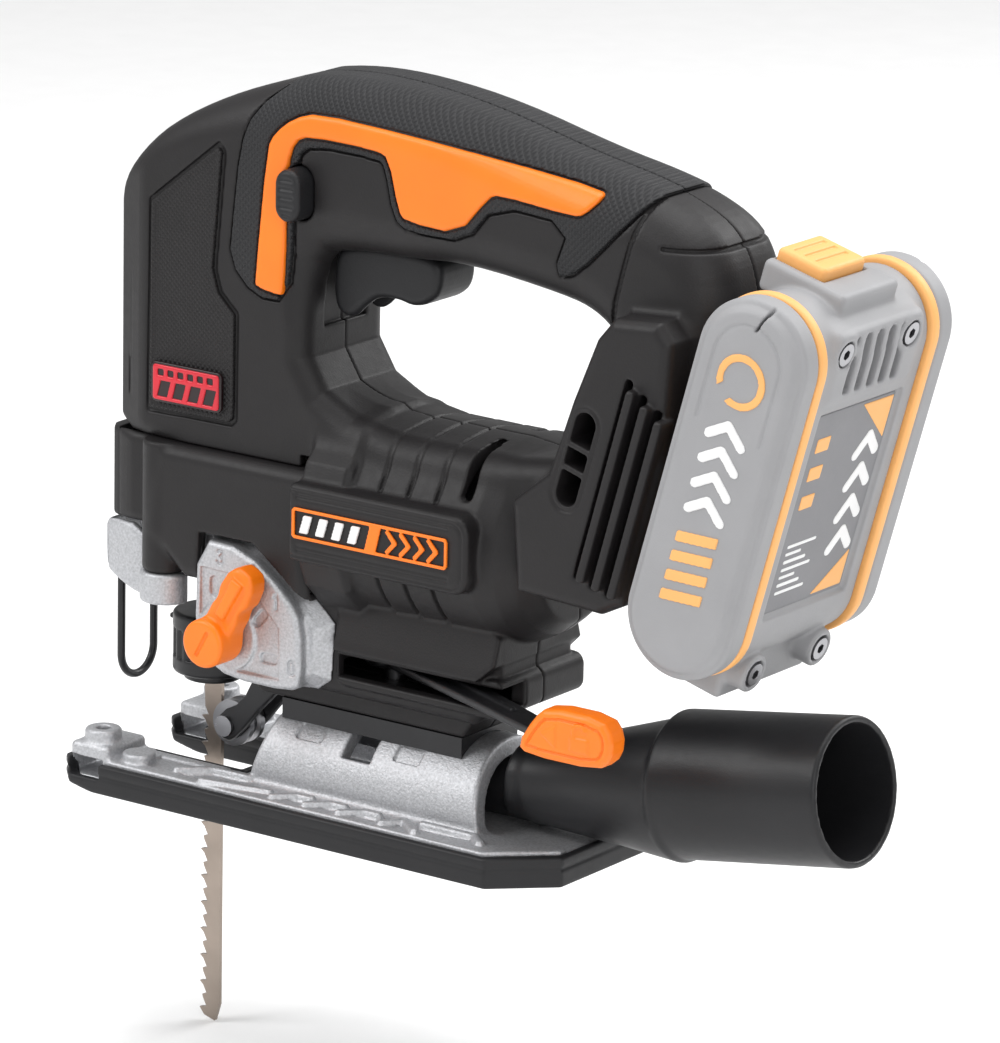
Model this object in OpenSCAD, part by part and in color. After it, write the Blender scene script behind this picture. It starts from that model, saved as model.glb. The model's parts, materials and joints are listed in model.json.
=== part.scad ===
// Cordless D-handle jigsaw, all lengths in millimetres.
// X runs from the blade end (-X) to the battery end (+X), Y = 0 is the middle plane,
// +Z is up and Z = 0 is the sole that slides on the work. X = 0 is the middle of the sole.

/* [Base] */
// Length of the sole
base_l = 157; // [150:1:165]
// Width of the sole
base_w = 69; // [66:1:74]
// Height of the black shoe's side band
shoe_h = 8.7; // [7.5:0.1:9.5]
// Height of the bevel axis above the sole
tilt_z = 10; // [9:0.5:11]
// Outer radius of the arch that the body tilts on
arch_r = 20; // [19:0.5:21]
// Radius of the sawdust tunnel under the arch
tunnel_r = 15.3; // [14:0.1:16]
// Half width of the blade slot between the two prongs
slot_half = 12; // [12:0.5:14]

/* [Blade] */
// Height of the blade's tip, below the sole
blade_tip_z = -70; // [-90:1:-55]
// Distance from one tooth to the next
tooth_pitch = 3.8; // [2.5:0.1:5]
// Thickness of the blade
blade_t = 1.25; // [1:0.05:1.5]

/* [Drive] */
// Teeth on the motor pinion
pinion_teeth = 8; // [7:1:9]
// Teeth on the drive gear
gear_teeth = 30; // [28:1:31]
// Height of the motor shaft
motor_z = 85; // [84:0.5:86]
// Distance from the gear's centre to the crank pin
crank_r = 11; // [9:0.5:12]
// Radius of the plunger rod
rod_r = 4.5; // [4:0.1:5]

/* [Body] */
// Half width of the handle and the front column
body_half = 20; // [19:0.5:21]
// Outer radius of the motor barrel
barrel_r = 27.5; // [27:0.5:29]
// Wall thickness of the plastic shells
wall = 2.5; // [2:0.1:3]

/* [Battery] */
// Lean of the battery away from upright, in degrees
battery_lean = 15.5; // [12:0.5:20]
// Width of the battery
battery_w = 73; // [70:1:76]
// Radius of the round ends of the battery
battery_r = 16.5; // [16:0.5:18]

/* [Dust tube] */
// Outer radius of the round mouth
mouth_r = 19.5; // [18:0.5:20]
// Bore radius of the round mouth
mouth_bore_r = 17.6; // [16:0.1:18]

/* [Hidden] */
$fn = 48;
eps = 0.01;
gap = 0.3;
big = 400;
running = 0.05;

black = "#2b2b2e";
dark = "#1c1c1f";
soft = "#242427";
orange = "#ff8214";
silver = "#c9cacc";
steel = "#9c9ea2";
pale = "#b3b4b7";
pale_orange = "#ffcd96";

// Outlines are drawn in the X-Z plane, [x, z], and extruded across Y.
column_top = [[-77, 96], [-76.5, 128], [-74, 160], [-68, 172], [-56, 183], [-40, 192], [-22, 198.8],
    [-5, 201.5], [14, 201.2], [39, 198], [70, 190.2], [88, 187], [101, 183.6], [112, 178],
    [117.5, 171], [120, 163], [121, 156]];
handle_outline = concat([for (i = [len(column_top) - 1:-1:0]) column_top[i]],
    [[-6, 96], [-6, 110], [70, 110], [76, 96], [112, 120]]);
loop_outline = [[-9, 112], [76, 112], [82, 132], [86, 146], [80, 150], [70, 154], [38, 158], [20, 156.5],
    [8, 156.5], [-9, 156.5]];
trigger_outline = [[-7.5, 140], [-4, 137], [-0.5, 137.5], [3, 141], [7, 144], [13.5, 144.2], [18, 143],
    [23, 144.4], [27, 148], [27.4, 156], [20, 158], [-4, 157], [-7.5, 152]];
insert_outline = [[-23.5, 145], [-15, 143.5], [-14.1, 161], [-13, 181.5], [-7, 186.5], [16.3, 185.8],
    [19.4, 183.4], [22.7, 170], [25.6, 168.2], [41.5, 168], [51.5, 179.5], [80, 178], [85, 183],
    [53.2, 188.6], [23.2, 191.4], [-5, 192.8], [-12.5, 190.5], [-18.5, 186], [-20.7, 181.8]];
grip_outline = [[-32.7, 150], [-24.4, 141.6], [-14.2, 141.6], [-12, 161], [-11, 180.5], [-6, 184.5],
    [15.5, 183.8], [17.5, 182], [20.5, 169], [25, 166], [43, 166], [52.5, 177.3], [76, 175.5], [70.5, 161],
    [78, 163], [92, 179], [94.5, 185.5], [70, 190.2], [39, 196], [14, 198.3], [-4, 198.5], [-21, 196],
    [-27.5, 187], [-30.5, 170]];
panel_outline = [[-60, 105], [-31, 106], [-31, 137], [-36.5, 141], [-38, 149], [-35.5, 178], [-37, 180.5],
    [-59.5, 162]];
plate_outline = [[-39, 74.5], [-39.8, 46], [-35, 41], [-28, 37.6], [-8, 37.6], [-4, 40], [-4.3, 57],
    [-8.5, 63], [-23.8, 74]];
plate_foot = [[-39, 76], [-40.5, 45.5], [-35, 40], [-27, 36.6], [-3, 37.6], [1.5, 41], [2.6, 57],
    [-4, 63], [-21, 76]];
lower_outline = [[-38, 37], [46, 37], [54.5, 44], [54.5, 62], [-38, 62]];
keel_outline = [[-26, 31.5], [40, 31.5], [46, 37.1], [-38, 37.1]];
mount_outline = [[68, 80], [95, 78], [104, 84], [121, 150], [112, 158], [100, 156], [83, 108], [66, 102]];
shaft_pivot = [-28.7, 49.4];
trigger_pivot = [-4, 161];
roller_axis = [-43.3, 17.3];
arm_pivot = [-20, 42];
lever_x = 8.7;
battery_x = 106;
rod_x = -52.3;
blade_back_x = -48.9;
blade_tooth_x = -55.6;
gear_x = -24;
light_x = -73.8;
gear_w = 8;
pinion_r = pinion_teeth / 2;
gear_r = gear_teeth / 2;
gear_z = motor_z + pinion_r + gear_r;
yoke_z = gear_z - crank_r;
rod_low_z = 29.5;
screw_points = [[-64, 150, 17], [106, 170, 19.4], [44, 55, 17.5], [88, 90, 28]];
terminal_y = [-12, -4, 4, 12];
cell_heights = [11, 31, 51];
case_screws = [[15, -16], [-15, -16], [15, 74], [-15, 74]];
drum_r = 11;
nose_rise = 2.6;
plate_top = 9.5;
// where the casting is parted into simpler solids
guide_cut_x = -64.7;
prong_cut_x = -30.9;
cavity_half = 17.1;

function edge_dir(p, i) =
    let(a = p[i], b = p[(i + 1) % len(p)], d = b - a) d / norm(d);
function inset_corner(p, i, d) =
    let(n = len(p), u = edge_dir(p, (i + n - 1) % n), v = edge_dir(p, i),
        nu = [-u[1], u[0]], nv = [-v[1], v[0]], c = 1 + nu * nv)
    p[i] + d * (nu + nv) / max(c, 0.35);
// Moves every edge of a counter-clockwise outline inward by d.
function inset(p, d) = [for (i = [0:len(p) - 1]) inset_corner(p, i, d)];
function sole_outline() =
    let(f = -base_l / 2, r = base_l / 2, w = base_w / 2)
    [[r, w - 14], [r - 15, w], [f + 4, w], [f, w - 4], [f, slot_half + 3], [f + 3, slot_half],
     [-33, slot_half], [-33, -slot_half], [f + 3, -slot_half], [f, -slot_half - 3], [f, -w + 4],
     [f + 4, -w], [r - 15, -w], [r, -w + 14]];

// Extrudes an X-Z outline from y0 to y1.
module side(y0, y1) {
    rotate([90, 0, 0]) translate([0, 0, -y1]) linear_extrude(y1 - y0) children();
}
// A cylinder along Y.
module rod_y(x, z, r, y0, y1) {
    translate([x, y1, z]) rotate([90, 0, 0]) cylinder(h = y1 - y0, r = r);
}
// A cylinder along X.
module rod_x_dir(y, z, r, x0, x1) {
    translate([x0, y, z]) rotate([0, 90, 0]) cylinder(h = x1 - x0, r = r);
}
// A box given by its two corners.
module span(a, b) {
    translate(a) cube(b - a);
}
// Places its children in the battery's own frame: X backward out of the tool, Z along the battery.
module battery_frame() {
    translate([battery_x, 0, 91]) rotate([0, battery_lean, 0]) children();
}
module stadium(r, z0, z1) {
    for (z = [z0, z1]) translate([battery_r + 0.5, z]) circle(r);
    translate([battery_r + 0.5 - r, z0]) square([2 * r, z1 - z0]);
}
module stadium_slab(r, y0, y1) {
    side(y0, y1) stadium(r, -2.5, 69);
}
// A cap-head screw that goes in along -Y, its head's outer face at y.
module screw(x, y, z) {
    difference() {
        union() {
            rod_y(x, z, 3.4, y - 2.6, y);
            rod_y(x, z, 1.7, -6, y);
        }
        translate([x, y + eps, z]) rotate([90, 0, 0]) cylinder(h = 1.6, r = 1.7, $fn = 6);
    }
}

// ---- Body shells ----
module handle_layer(d) {
    difference() {
        polygon(inset(handle_outline, d));
        polygon(inset(loop_outline, -d));
    }
}
module barrel_solid(grow) {
    translate([0, 0, motor_z]) rotate([0, 90, 0]) rotate_extrude()
        polygon([[0, -3], [barrel_r + 2 + grow, -3], [barrel_r + 2 + grow, 12], [barrel_r + grow, 16],
                 [barrel_r + grow, 52], [barrel_r - 4 + grow, 62], [barrel_r - 9 + grow, 68], [0, 68]]);
}
module column_chamfers() {
    for (s = [-1, 1]) linear_extrude(big) polygon([[-90, s * 8], [-77, s * 8], [-72, s * 15],
        [-61, s * 20], [-50, s * 30], [-90, s * 30]]);
}
module housing_outer() {
    difference() {
        union() {
            // four steps follow the round of the handle
            side(-8.5, 8.5) handle_layer(0);
            side(-13, 13) handle_layer(1.2);
            side(-16.5, 16.5) handle_layer(3);
            side(-body_half + 0.6, body_half - 0.6) handle_layer(5.3);
        }
        column_chamfers();
    }
    barrel_solid(0);
    side(-17.5, 17.5) polygon(lower_outline);
    side(-12.6, 12.6) polygon(keel_outline);
    side(-30, 30) polygon(inset(mount_outline, 1.5));
    side(-28, 28) polygon(mount_outline);
    for (s = [-1, 1]) side_pad(s);
}
module side_pad(s) {
    y = s * 31.5;
    side(min(y, s * 20), max(y, s * 20))
        polygon([[-3, 76], [50, 76], [54, 80], [54, 93], [50, 97], [-3, 97]]);
}
module housing_cavity() {
    difference() {
        side(-cavity_half, cavity_half) intersection() {
            handle_layer(5 + wall);
            translate([-100, 100]) square([300, 200]);
        }
        side(-body_half, body_half) polygon([[-80, 90], [-71, 90], [-71, 200], [-80, 200]]);
        // the post behind the trigger keeps the loop's wall closed
        span([70, -20, 96], [84, 20, 112]);
    }
    rod_x_dir(0, motor_z, barrel_r - wall + 0.1, -8.8, 49.5);
    rod_x_dir(0, motor_z, 8, 49, 55);
    rod_x_dir(0, motor_z, barrel_r - 9, 54, 70);
    span([-35.5, -15, 39.5], [52, 15, 55.2]);
    span([-66, -cavity_half, 90], [-15.2, cavity_half, 136]);
    span([-16, -13.8, 90], [-11.3, 13.8, 136]);
    side(-24, 24) polygon([[70, 84], [94, 82], [98, 87], [108, 128], [104, 146], [100, 146], [86, 106],
        [70, 98]]);
}
module lever_slot() {
    span([3.5, -20, 43], [60, -8, 49]);
}
module arm_window() {
    span([-39, -9, 30], [-12, 9, 41]);
}
module battery_clearance() {
    battery_frame() span([-0.4, -40, -40], [60, 40, 120]);
}
// The T-shaped tongue that the battery's channel slides onto.
module battery_tongue() {
    battery_frame() {
        span([-6, -15, -4], [3, 15, 50]);
        span([2.6, -18, -4], [5.4, 18, 50]);
    }
}
module terminal_slots() {
    battery_frame() for (y = terminal_y) span([-14, y - 0.9, 1], [5.5, y + 0.9, 19]);
}
module screw_bosses() {
    for (p = screw_points) rod_y(p[0], p[1], 4.2, -p[2] + 1.5, p[2] - 1);
}
module screw_holes() {
    for (p = screw_points) {
        rod_y(p[0], p[1], 3.4, p[2] - 2.6, p[2] + 5);
        rod_y(p[0], p[1], 1.7, -6, p[2]);
    }
}
module mount_ribs() {
    battery_frame() for (s = [-1, 1], x = [-6, -11, -16])
        span([x, s > 0 ? 27 : -33, -8], [x + 2.6, s > 0 ? 33 : -27, 46 - 2 * (x + 16) / 5]);
}
module vent_windows() {
    for (z = [108, 117, 126])
        translate([84.5 + (z - 108) * 0.32, 0, z]) rotate([0, 15, 0]) cube([6, 90, 7], center = true);
}
module motor_vents() {
    difference() {
        span([46, -40, 88], [49, 40, 112]);
        rod_x_dir(0, motor_z, barrel_r - wall - 1, 40, 60);
    }
}
module trigger_space() {
    side(-9.2, 9.2) polygon([[-10.5, 134], [5, 134], [12, 141], [29.5, 141], [29.5, 166], [-10, 166]]);
    rod_y(trigger_pivot[0], trigger_pivot[1], 2, -12, 12);
}
module lock_holes(r) {
    for (z = [-3.4, 3.4]) rod_y(-10, 171.2 + z, r, -30, 30);
    span([-10 - r, -30, 167.8], [-10 + r, 30, 174.6]);
}
module housing_solid() {
    difference() {
        union() {
            difference() {
                housing_outer();
                housing_cavity();
                battery_clearance();
            }
            battery_tongue();
            mount_ribs();
            screw_bosses();
        }
        terminal_slots();
        screw_holes();
        lever_slot();
        arm_window();
        vent_windows();
        motor_vents();
        trigger_space();
        lock_holes(4.4);
        rod_y(shaft_pivot[0], shaft_pivot[1], 6, -30, 0);
        translate([lever_x, 0, 30]) cylinder(h = 10, r = 3.3);
        // room for the gear cover in front of the barrel and below the column
        span([-90, -40, 62], [-3, 40, 98]);
    }
}
module left_housing() color(black) difference() {
    housing_solid();
    span([-200, 0, -50], [300, 100, 300]);
}
module right_housing() color(black) difference() {
    housing_solid();
    span([-200, -100, -50], [300, 0, 300]);
}
module gear_cover() color(black) difference() {
    union() {
        side(-19, 19) polygon([[-78, 73], [-60, 73], [-60, 62], [-3, 62], [-3, 98], [-76, 98]]);
        side(-24, 24) polygon([[-58, 73], [-45, 62], [-3, 62], [-3, 98], [-54, 98]]);
        for (s = [-1, 1]) translate([-55, s * 18, 61.6]) cylinder(h = 36.4, r = 6);
    }
    span([-72, -16.5, 55], [-30, 16.5, 99]);
    span([-42, -21.5, 64.5], [-2, 21.5, 99]);
    side(-40, -17.45) polygon(plate_foot);
    translate([light_x, 0, 70]) cylinder(h = 6.5, r = 2.6);
}
module grip_skin(s) {
    y0 = s > 0 ? body_half - 0.6 : -body_half - 0.8;
    color(soft) side(y0, y0 + 1.4) difference() {
        polygon(grip_outline);
        polygon(inset(insert_outline, -0.6));
        translate([-10, 171.2]) square([10, 16], center = true);
    }
}
module left_grip() { grip_skin(-1); }
module right_grip() { grip_skin(1); }
module insert_skin(s) {
    y0 = s > 0 ? body_half - 0.6 : -body_half - 1.4;
    color(orange) side(y0, y0 + 2) difference() {
        polygon(insert_outline);
        translate([-10, 171.2]) square([10, 16], center = true);
    }
}
module left_insert() { insert_skin(-1); }
module right_insert() { insert_skin(1); }
module panel_skin(s) {
    y0 = s > 0 ? body_half - 0.6 : -body_half - 0.4;
    color(dark) side(y0, y0 + 1) polygon(panel_outline);
}
module left_side_panel() { panel_skin(-1); }
module right_side_panel() { panel_skin(1); }
module front_badge() color("#b3202c") for (s = [-1, 1]) {
    y0 = s > 0 ? body_half + 0.4 : -body_half - 1.2;
    side(y0, y0 + 0.8) polygon([[-57.5, 108], [-34.5, 108.6], [-34, 119.4], [-57.8, 118.4]]);
}
module label_plate(s) {
    y0 = s > 0 ? 31.5 : -32.1;
    color(orange) side(y0, y0 + 0.6) polygon([[-2, 82.6], [48, 82.6], [48, 91], [-2, 91]]);
}
module left_label() { label_plate(-1); }
module right_label() { label_plate(1); }

// ---- Front metalwork ----
module gearbox_frame() color(silver) difference() {
    union() {
        span([-14.8, -13.5, 71], [-11.5, 13.5, 128]);
        span([-62, -9, 70.5], [-11.5, 9, 76]);
        span([-62, -9, 130], [-11.5, 9, 135]);
        span([-14.8, -9, 126], [-11.5, 9, 135]);
        translate([rod_x, 0, 70.5]) cylinder(h = 10, r = 10);
        translate([rod_x, 0, 127]) cylinder(h = 10, r = 10);
        rod_x_dir(0, motor_z, 11, -14.8, -8.9);
    }
    translate([rod_x, 0, 60]) cylinder(h = 90, r = 7);
    rod_x_dir(0, motor_z, 8, -13.6, -6);
    rod_x_dir(0, motor_z, 4.5, -20, 0);
    rod_x_dir(0, gear_z, 3, -20, 0);
}
module front_bracket() color(silver) difference() {
    union() {
        side(-19.5, 19.5) polygon([[-80, 72.5], [-80, 59], [-70, 55.5], [-62, 53], [-49, 53], [-49, 61.5],
            [-61.1, 61.5], [-61.1, 72.5]]);
        for (s = [-1, 1]) translate([-55, s * 17.5, 53]) cylinder(h = 8.5, r = 7);
    }
    span([-76.5, -16.5, 50], [-40, 16.5, 80]);
    for (s = [-1, 1]) translate([-78.5, s * 7, 50]) cylinder(h = 12, r = 1.1);
}
module wire_guard() color(dark) {
    for (s = [-1, 1]) translate([-78.5, s * 7, 31]) cylinder(h = 31, r = 1.1);
    translate([-78.5, 0, 31]) rotate([-90, 0, -90]) rotate_extrude(angle = 180)
        translate([7, 0]) circle(1.1);
}
module pendulum_plate() color(silver) difference() {
    union() {
        side(-25, -17.5) polygon(plate_outline);
        side(-20, -17.5) polygon(plate_foot);
    }
    rod_y(shaft_pivot[0], shaft_pivot[1], 4 + running, -30, -10);
}
module pendulum_knob() color(orange) {
    rod_y(shaft_pivot[0], shaft_pivot[1], 6.6, -35.5, -25.3);
    rod_y(shaft_pivot[0], shaft_pivot[1], 4, -25.4, -9);
    translate([shaft_pivot[0], 0, shaft_pivot[1]]) rotate([0, -61, 0])
        side(-32.5, -25.3) polygon([[0, -5], [8, -4.6], [20, -5.2], [24, -2.5], [24, 2.5], [20, 5.2],
            [8, 4.6], [0, 5]]);
}
module saddle() color(dark) difference() {
    span([-19, -12.6, 25], [40, 12.6, 31.5]);
    rod_x_dir(0, tilt_z, arch_r + gap, -30, 60);
    translate([lever_x, 0, 20]) cylinder(h = 20, r = 3.2);
}
module clamp_shoe() color(steel) difference() {
    intersection() {
        rod_x_dir(0, tilt_z, tunnel_r - gap, lever_x - 9, lever_x + 9);
        span([-10, -4.6, 20], [40, 4.6, 30]);
    }
    translate([lever_x, 0, 10]) cylinder(h = 20, r = 3);
    rod_x_dir(0, tilt_z, 11.4, -20, 40);
}
module clamp_bolt() color(steel) {
    translate([lever_x, 0, 19.6]) cylinder(h = 33, r = 3);
    translate([lever_x, 0, 17]) cylinder(h = 3.4, r = 4);
    translate([lever_x, 0, 50.6]) cylinder(h = 4, r = 5.5, $fn = 6);
}
module work_light() color("#f4f1dc") {
    translate([light_x, 0, 70.5]) cylinder(h = 6, r = 2.6);
}

// ---- Electrics and motor ----
module switch_unit() color(dark) difference() {
    span([-4, -8, 167.5], [34, 8, 184]);
    translate([14, 0, 160]) cylinder(h = 12, r = 3);
}
module control_board() color("#2f6b45") span([40, -12, 166.5], [74, 12, 169]);
module terminal_block() color(dark) battery_frame() {
    span([-13.2, -17, -2], [-11.6, 17, 22]);
    for (y = terminal_y) span([-11.7, y - 0.6, 2], [4.8, y + 0.6, 18]);
}
module stator() color(steel) difference() {
    rod_x_dir(0, motor_z, barrel_r - wall, 4, 40);
    rod_x_dir(0, motor_z, 13.4, 0, 60);
    for (a = [0:60:300]) translate([0, 0, motor_z]) rotate([a, 0, 0]) span([0, -2, 12], [60, 2, 21]);
}
module bearing(x0, x1) color(steel) difference() {
    rod_x_dir(0, motor_z, 8, x0, x1);
    rod_x_dir(0, motor_z, 2.5 + running, x0 - 1, x1 + 1);
}
module front_bearing() { bearing(-13.6, -8.9); }
module rear_bearing() { bearing(49.5, 54); }
module rotor() color("#5a5c60") difference() {
    rod_x_dir(0, motor_z, 12.6, 5, 39);
    rod_x_dir(0, motor_z, 2.5, 0, 60);
}
// Simple straight-sided gear teeth, module 1.
module gear_profile(teeth) {
    r = teeth / 2;
    circle(r - 1.2);
    for (i = [0:teeth - 1]) rotate(i * 360 / teeth)
        polygon([[r - 1.6, -0.95], [r + 0.75, -0.32], [r + 0.75, 0.32], [r - 1.6, 0.95]]);
}
module along_x(x0, x1, y, z, turn) {
    translate([x0, y, z]) rotate([0, 90, 0]) rotate(turn) linear_extrude(x1 - x0) children();
}
module motor_shaft() color(steel) union() {
    rod_x_dir(0, motor_z, 2.5, -16, 53.8);
    along_x(gear_x, gear_x + gear_w, 0, motor_z, 0) gear_profile(pinion_teeth);
}
module fan() color(dark) difference() {
    union() {
        rod_x_dir(0, motor_z, 6, -2.6, 3.2);
        rod_x_dir(0, motor_z, 22, -2.6, -1.6);
        for (a = [0:40:320]) translate([0, 0, motor_z]) rotate([a, 0, 0])
            span([-2, -0.7, 5.2], [2.6, 0.7, 21.5]);
    }
    rod_x_dir(0, motor_z, 2.5, -20, 20);
}
module drive_gear() color(steel) difference() {
    union() {
        along_x(gear_x, gear_x + gear_w, 0, gear_z, 0) rotate(180 / gear_teeth) gear_profile(gear_teeth);
        rod_x_dir(0, gear_z - crank_r, 3, gear_x - 3.5, gear_x + 1);
    }
    rod_x_dir(0, gear_z, 3 + running, gear_x - 10, gear_x + 20);
}
module gear_axle() color(steel) union() {
    rod_x_dir(0, gear_z, 3, gear_x - 1.5, -11.5);
    rod_x_dir(0, gear_z, 4.5, gear_x - 3, gear_x - 1.5);
}
module balance_weight() color(steel) intersection() {
    difference() {
        rod_x_dir(0, gear_z, 14, gear_x - 2.4, gear_x);
        rod_x_dir(0, gear_z, 6, gear_x - 5, gear_x + 5);
    }
    span([-40, -20, gear_z + 2], [0, 20, gear_z + 20]);
}

// ---- Plunger, clamp and blade ----
module plunger_bushes() color("#b98b4a") for (z = [70.5, 127]) difference() {
    translate([rod_x, 0, z]) cylinder(h = 10, r = 7);
    translate([rod_x, 0, z - 1]) cylinder(h = 12, r = rod_r + running);
}
module plunger() color(steel) difference() {
    translate([rod_x, 0, rod_low_z]) cylinder(h = 114, r = rod_r);
    span([rod_x - 5, -blade_t / 2, rod_low_z - 1], [rod_x + 5, blade_t / 2, 41]);
}
module yoke() color(steel) difference() {
    union() {
        span([-58, -6.5, yoke_z - 6.5], [-44, 6.5, yoke_z + 6.5]);
        span([-46, -4, yoke_z - 6.5], [-31, 4, yoke_z + 6.5]);
        span([-32, -16, yoke_z - 6.5], [-28.2, 16, yoke_z + 6.5]);
    }
    translate([rod_x, 0, 0]) cylinder(h = 200, r = rod_r);
    span([-34, -13, yoke_z - 3.2], [-20, 13, yoke_z + 3.2]);
}
module blade_clamp() color(dark) difference() {
    union() {
        translate([rod_x, 0, 30]) cylinder(h = 17, r = drum_r);
        translate([rod_x, 0, 28]) cylinder(h = 3, r = drum_r - 3);
        span([-66, -2.2, 36], [-60, 2.2, 44]);
    }
    translate([rod_x, 0, 20]) cylinder(h = 40, r = rod_r + running);
}
// Raked teeth in pairs: a long and a short one, as on a fast wood blade.
function blade_teeth(i) =
    let(z = blade_tip_z + 3 + i * tooth_pitch, deep = i % 2 == 0 ? 0 : 0.9)
    [[blade_tooth_x + deep, z], [blade_tooth_x + 2.4, z + 0.5], [blade_tooth_x + 1.2, z + tooth_pitch - 1]];
module blade() color(steel) {
    count = floor((20 - blade_tip_z - 3) / tooth_pitch);
    side(-blade_t / 2, blade_t / 2) union() {
        polygon(concat([[blade_back_x, 40], [blade_back_x - 1.2, 41], [blade_tooth_x + 1, 41],
            [blade_tooth_x + 1, 24]],
            [for (i = [count:-1:0], q = [2, 1, 0]) blade_teeth(i)[q]],
            [[blade_tooth_x + 1.6, blade_tip_z + 1], [blade_back_x - 1.5, blade_tip_z],
             [blade_back_x, blade_tip_z + 5]]));
    }
}

// ---- Pendulum roller ----
module roller_arm() color(dark) difference() {
    union() {
        for (s = [-1, 1]) side(s > 0 ? 3.6 : -6.2, s > 0 ? 6.2 : -3.6)
            polygon([[-47, 15.5], [-43, 12.6], [-39.5, 14.5], [-30, 26], [-16, 39], [-15.5, 44],
                     [-20, 47], [-25, 44], [-33, 34], [-38, 24.5], [-45, 21]]);
        side(-6.2, 6.2) polygon([[-31, 29], [-16, 41], [-15.5, 44], [-20, 47], [-25, 44], [-31, 36]]);
    }
    rod_y(arm_pivot[0], arm_pivot[1], 2 + running, -20, 20);
    rod_y(roller_axis[0], roller_axis[1], 2, -20, 20);
}
module roller() color(steel) difference() {
    translate([roller_axis[0], 0, roller_axis[1]]) rotate([90, 0, 0]) rotate_extrude()
        polygon([[2 + running, -3.2], [6.4, -3.2], [6.4, -1.6], [5.3, -1], [5.3, 1], [6.4, 1.6],
                 [6.4, 3.2], [2 + running, 3.2]]);
}
module roller_pin() color(steel) {
    rod_y(roller_axis[0], roller_axis[1], 2, -6.9, 6.9);
    for (y = [-7.2, 6.2]) rod_y(roller_axis[0], roller_axis[1], 2.9, y, y + 1);
}

module arm_pin() color(steel) rod_y(arm_pivot[0], arm_pivot[1], 2, -15, 15);

// ---- Bevel clamp lever ----
module bevel_arm() color(dark) difference() {
    union() {
        translate([lever_x, 0, 43.6]) cylinder(h = 6.6, r = 8);
        translate([lever_x, 0, 44.6]) rotate([0, 0, -24]) linear_extrude(2.4)
            polygon([[0, -6], [40, -4.5], [78, -4], [100, -3], [100, 3], [78, 3.4], [40, 4.5], [0, 6]]);
    }
    translate([lever_x, 0, 30]) cylinder(h = 40, r = 3 + running);
}
module bevel_grip() color(orange) difference() {
    side(-44, -36) polygon([[79, 45], [82, 42.6], [104, 42.6], [108, 46], [108.6, 52], [105, 56.5],
        [88, 56.5], [84, 53]]);
    translate([lever_x, 0, 44.6]) rotate([0, 0, -24]) linear_extrude(2.4)
        polygon([[60, -3.4], [78, -4], [100, -3], [100, 3], [78, 3.4], [60, 3.4]]);
}

// ---- Base ----
module guide_slots() {
    span([-75.5, -60, 4.4], [-64.5, 60, 9.4]);
}
// Keeps what lies above the sole, which rises by nose_rise over the last 12 mm at the front.
module above_sole(lift) {
    f = -base_l / 2;
    side(-60, 60) polygon([[f, lift + nose_rise], [f + 12, lift], [100, lift], [100, 60], [f, 60]]);
}
module base_shoe() color(dark) difference() {
    intersection() {
        linear_extrude(shoe_h) polygon(sole_outline());
        above_sole(0);
    }
    intersection() {
        linear_extrude(20) polygon(inset(sole_outline(), 2.2));
        above_sole(1.6);
    }
    guide_slots();
}
module arch_side() {
    side(-30, 30) polygon([[-25, 8], [51, 8], [46.3, 31], [-19.5, 31]]);
}
module arrow(x, y, s) {
    translate([x, s * y, 9]) linear_extrude(1.9)
        polygon([[0, 0], [14, s * 1.5], [22, s * 6], [19, s * 6.6], [12, s * 3.2], [0, s * 1.6]]);
}
// The whole casting. Its guide slots open to the front, where the shoe closes them.
module base_casting() difference() {
    union() {
        intersection() {
            linear_extrude(plate_top) polygon(inset(sole_outline(), 2.3));
            above_sole(1.7);
        }
        intersection() {
            rod_x_dir(0, tilt_z, arch_r, -40, 60);
            arch_side();
            span([-60, -30, 8.5], [60, 30, 40]);
        }
        for (s = [-1, 1]) {
            span([-76, s > 0 ? 15 : -32, 9], [-63, s > 0 ? 32 : -15, 13]);
            translate([-69.4, s * 25.8, 9]) cylinder(h = 7.5, r = 5);
            translate([-57, s * 26, 9]) cylinder(h = 3, r = 4.5);
            arrow(-44, 18, s);
            for (i = [0:4]) translate([-4 + i * 11.5, 0, 9]) linear_extrude(1.5)
                polygon([[0, s * 24], [5, s * 21], [8.5, s * 24.5], [6, s * 24.5], [4.6, s * 22.6]]);
        }
    }
    intersection() {
        rod_x_dir(0, tilt_z, tunnel_r, -60, 80);
        span([-100, -50, 8.2], [100, 50, 60]);
    }
    for (s = [-1, 1]) translate([-69.4, s * 25.8, 7]) cylinder(h = 20, r = 2.1);
    intersection() {
        span([lever_x - 4.7, -40, 12], [lever_x + 4.7, 40, 60]);
        translate([-20, 0, tilt_z]) rotate([90, 0, 90]) linear_extrude(60)
            polygon([[0, 0], [33, 20.2], [33, 50], [-33, 50], [-33, 20.2]]);
    }
    translate([0, 0, 1]) linear_extrude(4.6) difference() {
        polygon(inset(sole_outline(), 6));
        translate([-120, -50]) square([60, 100]);
    }
    guide_slots();
    span([-80, -60, 4.4], [-70, 60, 9.4]);
}
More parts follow.
